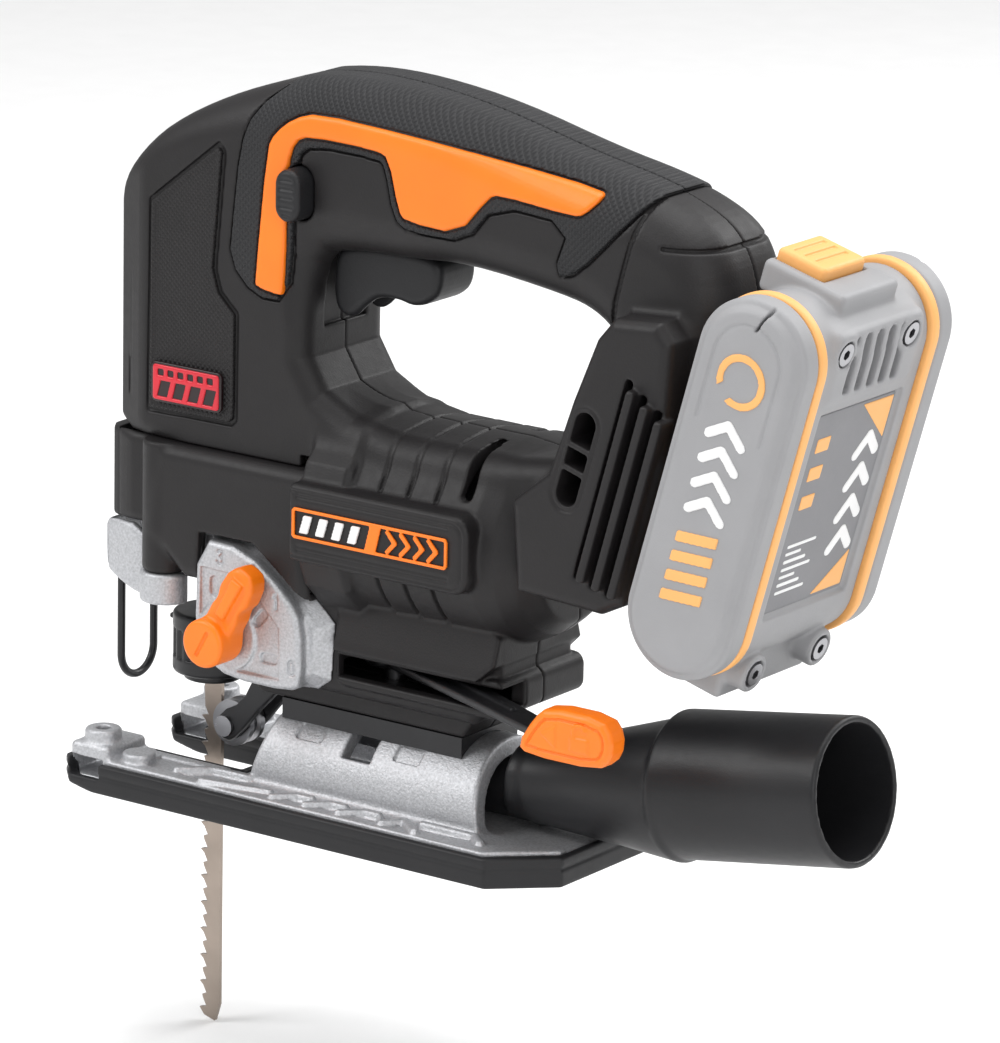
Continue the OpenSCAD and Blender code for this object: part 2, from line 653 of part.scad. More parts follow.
// The prong bars behind the guide slots, and the arch above the plate.
module arch_region() {
    span([guide_cut_x, -60, 0], [prong_cut_x, 60, 40]);
    span([-25.6, -arch_r - 0.2, plate_top + 0.1], [60, arch_r + 0.2, 40]);
}
module base_plate() color(silver) difference() {
    base_casting();
    arch_region();
}
module base_arch() color(silver) intersection() {
    base_casting();
    arch_region();
}
module dust_tube() color(dark) difference() {
    union() {
        rod_x_dir(0, 16.6, 7.6, 24, 60);
        intersection() {
            rod_x_dir(0, 20, 11, 52, 84);
            span([52, -11, 12], [84, 11, 31]);
        }
        translate([58, 0, 20]) rotate([0, 90 - 9, 0]) cylinder(h = 50, r1 = 10.5, r2 = 16);
        translate([103, 0, 28.6]) rotate([0, 90 - 9, 0]) cylinder(h = 52, r = mouth_r);
    }
    rod_x_dir(0, 16.6, 5.8, 20, 110);
    translate([58, 0, 20]) rotate([0, 90 - 9, 0]) cylinder(h = 50, r1 = 8, r2 = 13.5);
    translate([105, 0, 28.6 + 2 * tan(9)]) rotate([0, 90 - 9, 0]) cylinder(h = 70, r = mouth_bore_r);
}

// ---- Trigger and lock button ----
module trigger() color(dark) difference() {
    union() {
        side(-8.4, 8.4) polygon(trigger_outline);
        rod_y(trigger_pivot[0], trigger_pivot[1], 4, -8.4, 8.4);
    }
    rod_y(trigger_pivot[0], trigger_pivot[1], 2 + running, -20, 20);
    translate([14, 0, 153]) cylinder(h = 20, r = 2.6);
}
module trigger_pin() color(steel) rod_y(trigger_pivot[0], trigger_pivot[1], 2, -12, 12);
module trigger_spring() color(steel) {
    for (z = [153.5:2.2:171.1]) translate([14, 0, z]) rotate_extrude() translate([1.9, 0]) circle(0.45);
    translate([13.2, 1.7, 153.5]) cylinder(h = 17.6, r = 0.4);
}
module lock_button() color(dark) {
    for (z = [-3, 3]) rod_y(-10, 171.2 + z, 4, -25.5, 25.5);
    span([-14, -25.5, 168.2], [-6, 25.5, 174.2]);
}
module housing_screws() color(steel) for (p = screw_points) screw(p[0], p[2], p[1]);

// ---- Battery ----
module battery_case() color(pale) battery_frame() difference() {
    union() {
        stadium_slab(battery_r - 1.5, -23.9, 23.9);
        span([0.6, -23.9, -2.5], [10, 23.9, 69]);
        span([7, -20, -25], [26, 20, -8]);
        span([1, -11, 78], [28, 11, 87.5]);
    }
    span([8.6, -21, 1], [28.5, 21, 65]);
    span([0, -15.4, -40], [3, 15.4, 50.4]);
    span([2.2, -18.4, -40], [5.8, 18.4, 50.4]);
    for (y = terminal_y) span([5, y - 1.2, 4], [9, y + 1.2, 20]);
    span([1.6, -9.9, 82.5], [17.4, 9.9, 100]);
    for (p = case_screws) translate([26, p[0], p[1]]) rotate([0, 90, 0]) cylinder(h = 20, r = 3);
}
module battery_caps() color(pale) battery_frame() for (s = [-1, 1]) {
    stadium_slab(battery_r - 0.3, s > 0 ? 27.5 : -34, s > 0 ? 34 : -27.5);
    stadium_slab(battery_r - 2.6, s > 0 ? 33.9 : -battery_w / 2, s > 0 ? battery_w / 2 : -33.9);
}
module battery_bands() color(pale_orange) battery_frame() for (s = [-1, 1])
    stadium_slab(battery_r, s > 0 ? 24 : -27.5, s > 0 ? 27.5 : -24);
module battery_latch() color(pale_orange) battery_frame()
    span([2, -9.5, 84.6], [17, 9.5, 89.5]);
module battery_cells() color("#3f6fa8") battery_frame()
    for (z = cell_heights) translate([18.5, -20.5, z]) rotate([-90, 0, 0]) cylinder(h = 41, r = 9.2);
module battery_contacts() color("#b98b4a") battery_frame()
    for (y = terminal_y) span([6.1, y - 1.2, 4], [8.6, y + 1.2, 20]);
module battery_screws() color(steel) battery_frame()
    for (p = case_screws) translate([26, p[0], p[1]]) rotate([0, 90, 0])
        difference() {
            cylinder(h = 6, r = 3);
            translate([0, 0, 4]) cylinder(h = 4, r = 1.4, $fn = 6);
        }

left_housing();
right_housing();
gear_cover();
left_grip();
right_grip();
left_insert();
right_insert();
left_side_panel();
right_side_panel();
front_badge();
left_label();
right_label();
gearbox_frame();
front_bracket();
wire_guard();
pendulum_plate();
saddle();
clamp_shoe();
clamp_bolt();
work_light();
switch_unit();
control_board();
terminal_block();
stator();
front_bearing();
rear_bearing();
gear_axle();
plunger_bushes();
housing_screws();
pendulum_knob();
trigger();
trigger_pin();
trigger_spring();
lock_button();
rotor();
motor_shaft();
fan();
drive_gear();
balance_weight();
plunger();
yoke();
blade_clamp();
blade();
roller_arm();
roller();
roller_pin();
arm_pin();
bevel_arm();
bevel_grip();
base_plate();
base_arch();
base_shoe();
dust_tube();
battery_case();
battery_caps();
battery_bands();
battery_latch();
battery_cells();
battery_contacts();
battery_screws();
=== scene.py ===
"""Cordless D-handle jigsaw: detailed shells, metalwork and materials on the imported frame.

Lengths in the shape code are millimetres in the row frame. X runs from the blade end to the
battery end, Y is across the tool and Z is up. Shapes are signed distances on a grid of points,
negative inside, which openvdb turns into meshes.
"""
import json
import math

import bpy
import numpy as np
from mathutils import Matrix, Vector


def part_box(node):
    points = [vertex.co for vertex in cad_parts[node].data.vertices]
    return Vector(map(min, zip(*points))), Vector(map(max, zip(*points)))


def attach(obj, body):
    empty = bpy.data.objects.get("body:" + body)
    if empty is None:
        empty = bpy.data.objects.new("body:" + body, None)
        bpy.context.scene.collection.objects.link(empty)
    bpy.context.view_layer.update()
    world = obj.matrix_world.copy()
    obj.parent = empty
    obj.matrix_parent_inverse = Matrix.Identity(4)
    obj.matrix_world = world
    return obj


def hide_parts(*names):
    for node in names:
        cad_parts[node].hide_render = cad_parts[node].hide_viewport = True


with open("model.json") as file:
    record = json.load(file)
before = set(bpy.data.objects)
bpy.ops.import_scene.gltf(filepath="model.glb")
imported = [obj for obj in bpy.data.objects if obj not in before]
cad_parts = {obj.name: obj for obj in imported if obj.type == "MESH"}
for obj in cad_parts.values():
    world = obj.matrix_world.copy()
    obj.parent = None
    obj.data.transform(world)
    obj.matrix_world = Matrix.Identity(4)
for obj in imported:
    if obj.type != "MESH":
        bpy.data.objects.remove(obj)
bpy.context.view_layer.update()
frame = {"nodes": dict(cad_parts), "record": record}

import openvdb
from mathutils import Matrix, Vector

MM = 0.001
FAR = np.float32(1e9)
COARSE = 1.0
BODY_OF = {n: b for b, nodes in frame["record"]["behaviour"]["bodies"].items() for n in nodes}
SLOT_OF = {s["node"]: s["material_slot"] for s in frame["record"]["subparts"]}


# ---- Distances ----
def soft(points, times=2):
    """The closed outline with its corners cut to a curve."""
    for _ in range(times):
        cut = []
        for (ax, ay), (bx, by) in zip(points, points[1:] + points[:1]):
            cut.append((0.75 * ax + 0.25 * bx, 0.75 * ay + 0.25 * by))
            cut.append((0.25 * ax + 0.75 * bx, 0.25 * ay + 0.75 * by))
        points = cut
    return points


def outline_distance(points, u, v):
    """Signed distance from each (u, v) to a closed outline."""
    points = list(points)
    nearest = np.full(np.broadcast(u, v).shape, FAR, np.float32)
    inside = np.zeros(nearest.shape, bool)
    for (au, av), (bu, bv) in zip(points, points[1:] + points[:1]):
        eu, ev = bu - au, bv - av
        wu, wv = u - au, v - av
        t = np.clip((wu * eu + wv * ev) / (eu * eu + ev * ev + 1e-12), 0, 1)
        nearest = np.minimum(nearest, (wu - t * eu) ** 2 + (wv - t * ev) ** 2)
        if av != bv:
            inside ^= ((av > v) != (bv > v)) & (u < au + (v - av) / (bv - av) * eu)
    return (np.where(inside, -1, 1) * np.sqrt(nearest)).astype(np.float32)


def path_distance(points, u, v):
    """Distance from each (u, v) to an open line through the points."""
    nearest = FAR
    for (au, av), (bu, bv) in zip(points, points[1:]):
        eu, ev = bu - au, bv - av
        wu, wv = u - au, v - av
        t = np.clip((wu * eu + wv * ev) / (eu * eu + ev * ev + 1e-12), 0, 1)
        nearest = np.minimum(nearest, np.hypot(wu - t * eu, wv - t * ev))
    return nearest


def both(a, b, r=0.0):
    """What is in a and in b, with the edge between them rounded to radius r."""
    if np.isscalar(r) and r == 0:
        return np.maximum(a, b)
    inner = np.minimum(np.maximum(a + r, b + r), 0)
    return inner + np.hypot(np.maximum(a + r, 0), np.maximum(b + r, 0)) - r


def either(a, b, k=0.0):
    """What is in a or in b, with a fillet of about k where they meet."""
    if k == 0:
        return np.minimum(a, b)
    h = np.maximum(k - np.abs(a - b), 0) / k
    return np.minimum(a, b) - h * h * k * 0.25


def without(a, b, r=0.0):
    return both(a, -b, r)


class Block:
    """A box of grid points. Its methods give distances at those points."""

    def __init__(self, low, high, step):
        self.step = step * COARSE
        self.low = np.asarray(low, float) - 3.5 * self.step
        count = np.ceil((np.asarray(high, float) - self.low) / self.step).astype(int) + 4
        line = [(self.low[i] + self.step * np.arange(count[i])).astype(np.float32) for i in range(3)]
        self.x = line[0].reshape(-1, 1, 1)
        self.y = line[1].reshape(1, -1, 1)
        self.z = line[2].reshape(1, 1, -1)
        self.shape = tuple(count)

    def side(self, outline, y0, y1, r=0.0):
        """An X-Z outline from y0 to y1."""
        return both(outline_distance(outline, self.x, self.z), slab(self.y, y0, y1), r)

    def plan(self, outline, z0, z1, r=0.0):
        """An X-Y outline from z0 to z1."""
        return both(outline_distance(outline, self.x, self.y), slab(self.z, z0, z1), r)

    def box(self, low, high, r=0.0):
        a = both(slab(self.x, low[0], high[0]), slab(self.z, low[2], high[2]), r)
        return both(a, slab(self.y, low[1], high[1]), r)

    def rod_x(self, y, z, radius, x0, x1, r=0.0):
        return both(np.hypot(self.y - y, self.z - z) - radius, slab(self.x, x0, x1), r)

    def rod_y(self, x, z, radius, y0, y1, r=0.0):
        return both(np.hypot(self.x - x, self.z - z) - radius, slab(self.y, y0, y1), r)

    def rod_z(self, x, y, radius, z0, z1, r=0.0):
        return both(np.hypot(self.x - x, self.y - y) - radius, slab(self.z, z0, z1), r)


def slab(t, low, high):
    return np.abs(t - (low + high) / 2) - (high - low) / 2


def panel_distance(u, v, low, high, r):
    """Distance to a rectangle with corners of radius r."""
    return both(slab(u, low[0], high[0]), slab(v, low[1], high[1]), r)


def around(*nodes, step, grow=0.0):
    """A block round CAD nodes, with its step in millimetres."""
    boxes = [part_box(n) for n in nodes]
    low = np.min([b[0] for b in boxes], axis=0) / MM - grow
    high = np.max([b[1] for b in boxes], axis=0) / MM + grow
    return Block(low, high, step)


# ---- Meshes ----
def mesh_of(name, block, field):
    """A closed smooth-shaded mesh of the surface where the field is zero."""
    reach = 3 * block.step
    field = np.broadcast_to(field, block.shape)
    grid = openvdb.FloatGrid(reach)
    grid.copyFromArray(np.ascontiguousarray(np.clip(field, -reach, reach), dtype=np.float32))
    points, triangles, quads = grid.convertToPolygons(isovalue=0.0, adaptivity=0.0)
    points = points * block.step + block.low
    a, b, c = (points[quads[:, i]] for i in (0, 1, 2))
    volume = np.einsum("ij,ij->i", a, np.cross(b, c)).sum()
    if volume < 0:
        quads = quads[:, ::-1]
        triangles = triangles[:, ::-1]
    mesh = bpy.data.meshes.new(name)
    corners = np.concatenate([quads.ravel(), triangles.ravel()]).astype(np.int32)
    sizes = np.concatenate([np.full(len(quads), 4), np.full(len(triangles), 3)]).astype(np.int32)
    mesh.vertices.add(len(points))
    mesh.vertices.foreach_set("co", (points * MM).astype(np.float32).ravel())
    mesh.loops.add(len(corners))
    mesh.loops.foreach_set("vertex_index", corners)
    mesh.polygons.add(len(sizes))
    mesh.polygons.foreach_set("loop_start", (np.cumsum(sizes) - sizes).astype(np.int32))
    mesh.polygons.foreach_set("use_smooth", np.ones(len(sizes), bool))
    mesh.update(calc_edges=True)
    mesh.validate()
    return mesh


def add(name, block, field, finish, *nodes, place=None, trim=False):
    """Makes a piece that stands for CAD nodes, or trims them, and rides on their body."""
    mesh = mesh_of(name, block, field)
    if place is not None:
        mesh.transform(place)
    mesh.materials.append(finish)
    piece = bpy.data.objects.new(name, mesh)
    bpy.context.collection.objects.link(piece)
    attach(piece, BODY_OF[nodes[0]])
    if not trim:
        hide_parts(*nodes)
    return piece


# ---- Materials ----
ROUGH_SPREAD = 0.06
PLASTIC_SHINE = 0.35


def linear(r, g, b):
    """A colour given as 0 to 255 screen values."""
    def one(c):
        c = c / 255
        return c / 12.92 if c <= 0.04045 else ((c + 0.055) / 1.055) ** 2.4
    return (one(r), one(g), one(b), 1.0)


class Finish:
    """A material whose colour, roughness and bump come from noise in the object's own space."""

    def __init__(self, name, colour, rough, metal=0.0, spread=0.12, mottle=60.0, specular=0.5):
        self.material = bpy.data.materials.new(name)
        self.material.use_nodes = True
        self.tree = self.material.node_tree
        self.shader = self.tree.nodes["Principled BSDF"]
        self.shader.inputs["Metallic"].default_value = metal
        self.shader.inputs["Specular IOR Level"].default_value = specular
        self.place = self.node("ShaderNodeTexCoord").outputs["Object"]
        self.height = None
        cloud = self.noise(mottle, 3.0)
        ramp = self.node("ShaderNodeValToRGB")
        ramp.color_ramp.elements[0].position = 0.3
        ramp.color_ramp.elements[1].position = 0.7
        ramp.color_ramp.elements[0].color = [c * (1 - spread) for c in colour[:3]] + [1]
        ramp.color_ramp.elements[1].color = [min(1, c * (1 + spread)) for c in colour[:3]] + [1]
        self.link(cloud, ramp.inputs["Fac"])
        self.link(ramp.outputs["Color"], self.shader.inputs["Base Color"])
        span = self.node("ShaderNodeMapRange")
        span.inputs["To Min"].default_value = rough - ROUGH_SPREAD
        span.inputs["To Max"].default_value = rough + ROUGH_SPREAD
        self.link(self.noise(mottle * 8, 2.0), span.inputs["Value"])
        self.link(span.outputs["Result"], self.shader.inputs["Roughness"])

    def node(self, kind):
        return self.tree.nodes.new(kind)

    def link(self, a, b):
        self.tree.links.new(a, b)

    def math(self, operation, a, b=None):
        n = self.node("ShaderNodeMath")
        n.operation = operation
        for socket, value in zip(n.inputs, (a, b)):
            if value is None:
                continue
            if isinstance(value, (int, float)):
                socket.default_value = value
            else:
                self.link(value, socket)
        return n.outputs[0]

    def noise(self, scale, detail, stretch=None):
        n = self.node("ShaderNodeTexNoise")
        n.inputs["Scale"].default_value = scale
        n.inputs["Detail"].default_value = detail
        where = self.place
        if stretch:
            mapping = self.node("ShaderNodeMapping")
            mapping.inputs["Scale"].default_value = stretch
            self.link(where, mapping.inputs["Vector"])
            where = mapping.outputs["Vector"]
        self.link(where, n.inputs["Vector"])
        return n.outputs["Fac"]

    def bump(self, height, depth_mm):
        n = self.node("ShaderNodeBump")
        n.inputs["Strength"].default_value = 1.0
        n.inputs["Distance"].default_value = depth_mm * MM
        self.link(height, n.inputs["Height"])
        if self.height is not None:
            self.link(self.height, n.inputs["Normal"])
        self.height = n.outputs["Normal"]
        self.link(self.height, self.shader.inputs["Normal"])
        return self

    def grain(self, size_mm, depth_mm, detail=3.0, stretch=None):
        return self.bump(self.noise(1000 / size_mm, detail, stretch), depth_mm)

    def knurl(self, pitch_mm, depth_mm):
        """Rows of small pyramids across the X-Z side, as moulded into a soft grip."""
        split = self.node("ShaderNodeSeparateXYZ")
        self.link(self.place, split.inputs[0])
        waves = []
        for turn in (-1, 1):
            along = self.math("ADD", split.outputs["X"], self.math("MULTIPLY", split.outputs["Z"], turn))
            phase = self.math("MULTIPLY", along, math.pi * 1000 / (pitch_mm * math.sqrt(2)))
            waves.append(self.math("ABSOLUTE", self.math("SINE", phase)))
        return self.bump(self.math("MULTIPLY", waves[0], waves[1]), depth_mm)


def finishes():
    """Every finish by its slot's name: colour, roughness and the rest, then its bumps."""
    black = linear(27, 25, 26)
    dark = linear(29, 29, 31)
    orange = linear(250, 122, 10)
    grip = linear(35, 35, 37)
    silver = linear(186, 187, 190)
    steel = linear(160, 160, 163)
    blade = linear(158, 146, 136)
    dull = {"specular": PLASTIC_SHINE}
    made = {
        "black_plastic": Finish("black_plastic", black, 0.5, **dull).grain(0.55, 0.05),
        "dark_plastic": Finish("dark_plastic", dark, 0.5, **dull).grain(0.5, 0.04),
        "tube_plastic": Finish("tube_plastic", dark, 0.42, **dull).grain(0.4, 0.035),
        "soft_grip": Finish("soft_grip", grip, 0.6, **dull).knurl(1.3, 0.3).grain(0.4, 0.02),
        "panel_plastic": Finish("panel_plastic", black, 0.56, **dull).knurl(1.1, 0.2).grain(0.4, 0.02),
        "orange_plastic": Finish("orange_plastic", orange, 0.42, spread=0.05).grain(0.5, 0.03),
        "cast_silver": Finish("cast_silver", silver, 0.5, 0.75, 0.16, 1400.0).grain(0.6, 0.16, 4.0),
        "steel": Finish("steel", steel, 0.3, 1.0, 0.08).grain(0.3, 0.01, 2.0, (1, 1, 8)),
        "blade_steel": Finish("blade_steel", blade, 0.32, 1.0, 0.12).grain(0.4, 0.02, 2.0, (8, 8, 1)),
        "dark_steel": Finish("dark_steel", linear(34, 34, 36), 0.36, 0.3).grain(0.4, 0.02),
        "brass": Finish("brass", linear(196, 150, 80), 0.34, 1.0).grain(0.4, 0.01),
        "badge_red": Finish("badge_red", linear(206, 30, 48), 0.3, spread=0.05).grain(0.6, 0.01),
        "badge_dark": Finish("badge_dark", linear(30, 12, 14), 0.35).grain(0.6, 0.01),
        "label_white": Finish("label_white", linear(232, 232, 232), 0.4, spread=0.03).grain(0.6, 0.01),
        "lens": Finish("lens", linear(244, 241, 220), 0.15, spread=0.03).grain(1.0, 0.01),
        "board": Finish("board", linear(40, 104, 66), 0.4).grain(0.8, 0.03),
        "battery_grey": Finish("battery_grey", linear(150, 150, 152), 0.55, spread=0.04).grain(0.5, 0.05),
        "battery_dark": Finish("battery_dark", linear(124, 124, 127), 0.55, spread=0.04).grain(0.5, 0.04),
        "battery_orange": Finish("battery_orange", linear(240, 176, 104), 0.5, spread=0.03).grain(0.5, 0.03),
        "cell_blue": Finish("cell_blue", linear(70, 116, 170), 0.3).grain(0.8, 0.01),
    }
    return {name: made[name].material for name in made}


M = finishes()

# ---- Outlines shared by the shells and their skins ----
HANDLE = soft([(-77.5, 90), (-76.5, 128), (-74, 160), (-68, 172), (-56, 183), (-40, 191.7), (-22, 198.2),
               (-5, 200.8), (14, 200.6), (39, 197.4), (70, 189.8), (88, 186.6), (101, 183.2), (112, 178),
               (117.5, 171), (120, 163), (121, 156), (112, 118), (76, 92)], 2)
LOOP = soft([(-9, 110.5), (74, 110.5), (79, 122), (84, 138), (87.5, 147), (80, 152), (70, 154.5), (38, 158),
             (20, 156.5), (4, 156.5), (-9, 154)], 2)
GRIP = soft([(-32.7, 150), (-24.4, 141.6), (-14.2, 141.6), (-12, 161), (-11, 180.5), (-6, 184.5),
             (15.5, 183.8), (17.5, 182), (20.5, 169), (25, 166), (43, 166), (52.5, 177.3), (76, 175.5),
             (70.5, 161), (78, 163), (91, 176), (97, 184), (104, 196), (60, 216), (-8, 216),
             (-17, 199.5), (-25.5, 191), (-29.5, 180), (-31.5, 162)], 1)
INSERT = soft([(-24, 146), (-23.6, 144.2), (-15.6, 143), (-14.9, 144.2), (-14.1, 161.2), (-13.6, 178),
               (-11.6, 184.6), (-6.9, 186.7), (15, 186), (18.8, 184.4), (22.2, 171.2), (24.4, 168.8),
               (41, 167.8), (50.3, 178.6), (53.5, 180), (76.5, 177.8), (79.7, 178.4), (84, 183),
               (82.6, 184.6), (53.2, 188.4), (23.2, 191.3), (-5, 192.8), (-12.3, 190.6), (-18, 186),
               (-20.4, 181.8)], 1)
PANEL = [(-59.8, 105.4), (-32.2, 105.6), (-30.7, 107), (-30.5, 135.6), (-36, 140.8), (-37.9, 146.9),
         (-35.1, 178.4), (-36.6, 180.4), (-59.2, 162.4)]
COLUMN_PLAN = [(-77.6, -8), (-72, -15), (-61, -20), (140, -20), (140, 20), (-61, 20), (-72, 15), (-77.6, 8)]
LOWER = [(-38, 37), (46, 37), (54.5, 44), (54.5, 62), (-38, 62)]
KEEL = [(-26, 31.5), (40, 31.5), (46, 40), (-38, 40)]
MOUNT = [(68, 80), (94, 78.5), (101, 82), (112, 120), (114, 152), (110, 157), (96, 156), (91, 150),
         (84, 133), (77, 113), (66, 104)]
PLATE_FOOT = [(-39, 76), (-40.5, 45.5), (-35, 40), (-27, 36.6), (-3, 37.6), (1.5, 41), (2.6, 57),
              (-4, 63), (-21, 76)]
BUTTON = (-10.0, 171.2)
SELECTOR = (-28.7, 49.4)
SELECTOR_TURN = math.radians(-61)
LEVER_X = 8.7
LEVER_TURN = math.radians(-24)
TRIGGER_PIVOT = (-4, 161)
HANDLE_HALF = 19.4
COLUMN_EDGE, HANDLE_EDGE = 6.5, 13.0
MOTOR_Z = 85.0
# half the gap between the housings, and how deep skins and grooves go below the handle's surface
SEAM = 0.12
SKIN_DEPTH = 0.9
BATTERY_LEAN = math.radians(15.5)
BATTERY_AT = (106.0, 91.0)


def handle_distance(b):
    """The D-shaped handle with the column, as one rounded body."""
    flat = np.maximum(outline_distance(HANDLE, b.x, b.z), -outline_distance(LOOP, b.x, b.z))
    share = np.interp(b.x, [-58, -22], [0, 1]) * np.interp(b.z, [135, 165], [0, 1])
    edge = COLUMN_EDGE + (HANDLE_EDGE - COLUMN_EDGE) * share
    body = both(flat, np.abs(b.y) - HANDLE_HALF, edge)
    return both(body, outline_distance(COLUMN_PLAN, b.x, b.y), 0.7)


def button_hole(b, grow):
    flat = path_distance([(BUTTON[0], BUTTON[1] - 3), (BUTTON[0], BUTTON[1] + 3)], b.x, b.z)
    return flat - 4 - grow


def barrel_distance(b):
    """The motor barrel, whose radius changes along X with its rings and rear shoulder."""
    steps = [(-4, 29.4), (10.5, 29.4), (13, 27.2), (19.8, 27), (20.2, 25.9), (21.2, 25.9), (21.6, 27.5),
             (28.8, 27.2), (29.2, 26), (30.2, 26), (30.6, 27.5), (37.8, 27.2), (38.2, 26), (39.2, 26),
             (39.6, 27.5), (52, 27.3), (58, 25.8), (63, 23), (66, 20.6), (68, 18.8), (70, 17)]
    r = np.interp(b.x, *zip(*steps)).astype(np.float32)
    angle = np.arctan2(b.z - MOTOR_Z, b.y)
    facet = math.pi / 8
    flat_band = np.cos((angle + facet / 2) % facet - facet / 2) * np.hypot(b.y, b.z - MOTOR_Z)
    across = np.where(b.x < 12, flat_band, np.hypot(b.y, b.z - MOTOR_Z))
    return both((across - r) * 0.92, slab(b.x, -3, 68), 0.8)


def housing_distance(b, side):
    handle = handle_distance(b)
    barrel = barrel_distance(b)
    d = either(handle, barrel, 4)
    d = either(d, b.side(LOWER, -17.5, 17.5, 3), 2)
    d = either(d, b.side(KEEL, -12.6, 12.6, 1), 1)
    mount = b.side(MOUNT, -30, 30, 3)
    d = either(d, mount, 3)
    d = side_details(b, d)
    # grooves round the panel, the grip and the rear joint
    for outline, width in ((PANEL, 0.7), (GRIP, 0.6)):
        line = np.abs(outline_distance(outline, b.x, b.z)) - width
        d = without(d, both(line, -handle - SKIN_DEPTH), 0.3)
    rear = path_distance([(99, 200), (97, 184), (92, 166), (88, 150)], b.x, b.z) - 0.6
    cap_seam = path_distance([(103, 173), (126, 173)], b.x, b.z) - 0.5
    d = without(d, both(np.minimum(rear, cap_seam), -handle - SKIN_DEPTH), 0.3)
    # battery side: a flat rear, the tongue and the ribs
    u, w = battery_coordinates(b)
    d = both(d, u + 0.4, 0.6)
    tongue = both(both(slab(u, -6, 3), np.abs(b.y) - 15), slab(w, -4, 50))
    flange = both(both(slab(u, 2.6, 5.4), np.abs(b.y) - 18), slab(w, -4, 50))
    d = either(d, either(tongue, flange))
    for at in (-6.0, -11.0, -16.0):
        top = 46 - 2 * (at + 16) / 5
        rib = both(both(slab(u, at, at + 2.6), slab(np.abs(b.y), 26, 33), 0.8), slab(w, -8, top), 0.8)
        d = either(d, rib, 0.8)
        groove = both(slab(u, at - 2.2, at), slab(w, -9, top + 1.5), 0.8)
        d = without(d, both(groove, 25.6 - np.abs(b.y), 0.4), 0.5)
    d = hollow(b, d)
    return openings_cut(b, d, side)


def side_details(b, d):
    """The label pad with its grooves, the sloping flank and the lip round the lever's slot."""
    across = np.abs(b.y)
    pad = panel_distance(b.x, b.z, (-12, 76), (54, 97), 5)
    d = either(d, both(pad, across - 31.5, 1.8), 1.2)
    d = without(d, both(np.abs(pad + 1.9) - 0.25, 31.1 - across), 0.2)
    recess = panel_distance(b.x, b.z, (-3, 81.6), (49, 92), 1.6)
    d = without(d, both(recess, 31.4 - across), 0.2)
    for z in (78.9, 80.2, 93.4, 94.7):
        d = without(d, both(slab(b.z, z, z + 0.5), both(slab(b.x, -1, 48), 31.05 - across)), 0.15)
    flank = b.side([(3.4, 50.5), (50, 50.5), (55, 55), (55, 62), (48, 68), (3.4, 68)], -30, 30)
    flank = both(flank, (across - 17.6 - (62 - b.z) * 0.32) * 0.95, 0.8)
    d = either(d, both(flank, across - 21.2, 0.8), 1)
    lip = panel_distance(b.x, b.z, (3, 40.6), (57, 51.2), 3.2)
    return either(d, both(lip, across - 18.8, 0.9), 0.8)


def battery_coordinates(b):
    """How far each point is behind and along the battery's own axes."""
    dx, dz = b.x - BATTERY_AT[0], b.z - BATTERY_AT[1]
    c, s = math.cos(BATTERY_LEAN), math.sin(BATTERY_LEAN)
    return dx * c - dz * s, dx * s + dz * c


def hollow(b, d):
    """Takes out the room for the mechanism, the motor and the electrics."""
    flat = np.maximum(outline_distance(HANDLE, b.x, b.z), -outline_distance(LOOP, b.x, b.z))
    inner = np.maximum(flat + 8.5, np.abs(b.y) - 16.6)
    inner = np.maximum(inner, -(b.x + 71))
    inner = np.maximum(inner, 100 - b.z)
    inner = np.maximum(inner, -b.box((70, -20, 96), (84, 20, 112)))
    d = without(d, inner)
    d = without(d, b.rod_x(0, MOTOR_Z, 25.1, -8.8, 49.5))
    d = without(d, b.rod_x(0, MOTOR_Z, 8, 49, 55))
    d = without(d, b.rod_x(0, MOTOR_Z, 18.5, 54, 66.5))
    d = without(d, b.box((-35.5, -15, 39.5), (52, 15, 55.2)))
    d = without(d, b.box((-66, -16.6, 90), (-19, 16.6, 136)))
    d = without(d, b.box((-20, -10, 90), (-12.5, 10, 132)))
    room = [(70, 84), (94, 82), (98, 87), (108, 128), (104, 146), (100, 146), (86, 106), (70, 98)]
    return without(d, b.side(room, -24, 24))


def openings_cut(b, d, side):
    """Cuts the slots, the vents, the trigger's room, the shafts' holes and the screws' recesses."""
    d = without(d, b.box((3.5, -24, 43), (60, -8, 49)), 0.8)
    d = without(d, b.box((-39, -9, 30), (-12, 9, 41)))
    low, high = (83.4, 108.6), (88.8, 127.6)
    vent = path_distance([low, high], b.x, b.z) - 3.1
    for share in (0.34, 0.66):
        x, z = (low[i] + (high[i] - low[i]) * share for i in (0, 1))
        vent = np.maximum(vent, 0.8 - path_distance([(x - 6, z + 1.8), (x + 6, z - 1.8)], b.x, b.z))
    d = without(d, vent + 0 * b.y, 0.6)
    collar = np.abs(path_distance([low, high], b.x, b.z) - 4.4) - 0.35
    d = without(d, both(collar, 29.5 - np.abs(b.y)), 0.2)
    slot = both(slab(b.x, 45.6, 49), slab(b.z, 99, 112), 1.4)
    d = without(d, both(slot, 24 - np.hypot(b.y, b.z - MOTOR_Z)), 0.4)
    trigger_room = [(-10.5, 134), (5, 134), (12, 141), (29.5, 141), (29.5, 166), (-10, 166)]
    d = without(d, b.side(trigger_room, -9.2, 9.2), 0.4)
    d = without(d, button_hole(b, 0.4) + 0 * b.y, 0.5)
    d = without(d, b.rod_y(*SELECTOR, 6, -30, 0))
    d = without(d, b.rod_z(LEVER_X, 0, 3.3, 30, 40))
    d = without(d, b.box((-90, -40, 62), (-3, 40, 98)))
    for x, z, y in ((-64, 150, 17), (106, 170, 19.4), (44, 55, 17.5), (88, 90, 28)):
        d = without(d, b.rod_y(x, z, 3.5, y - 2.6, y + 6), 0.3)
    return both(d, SEAM - side * b.y, 0.3)


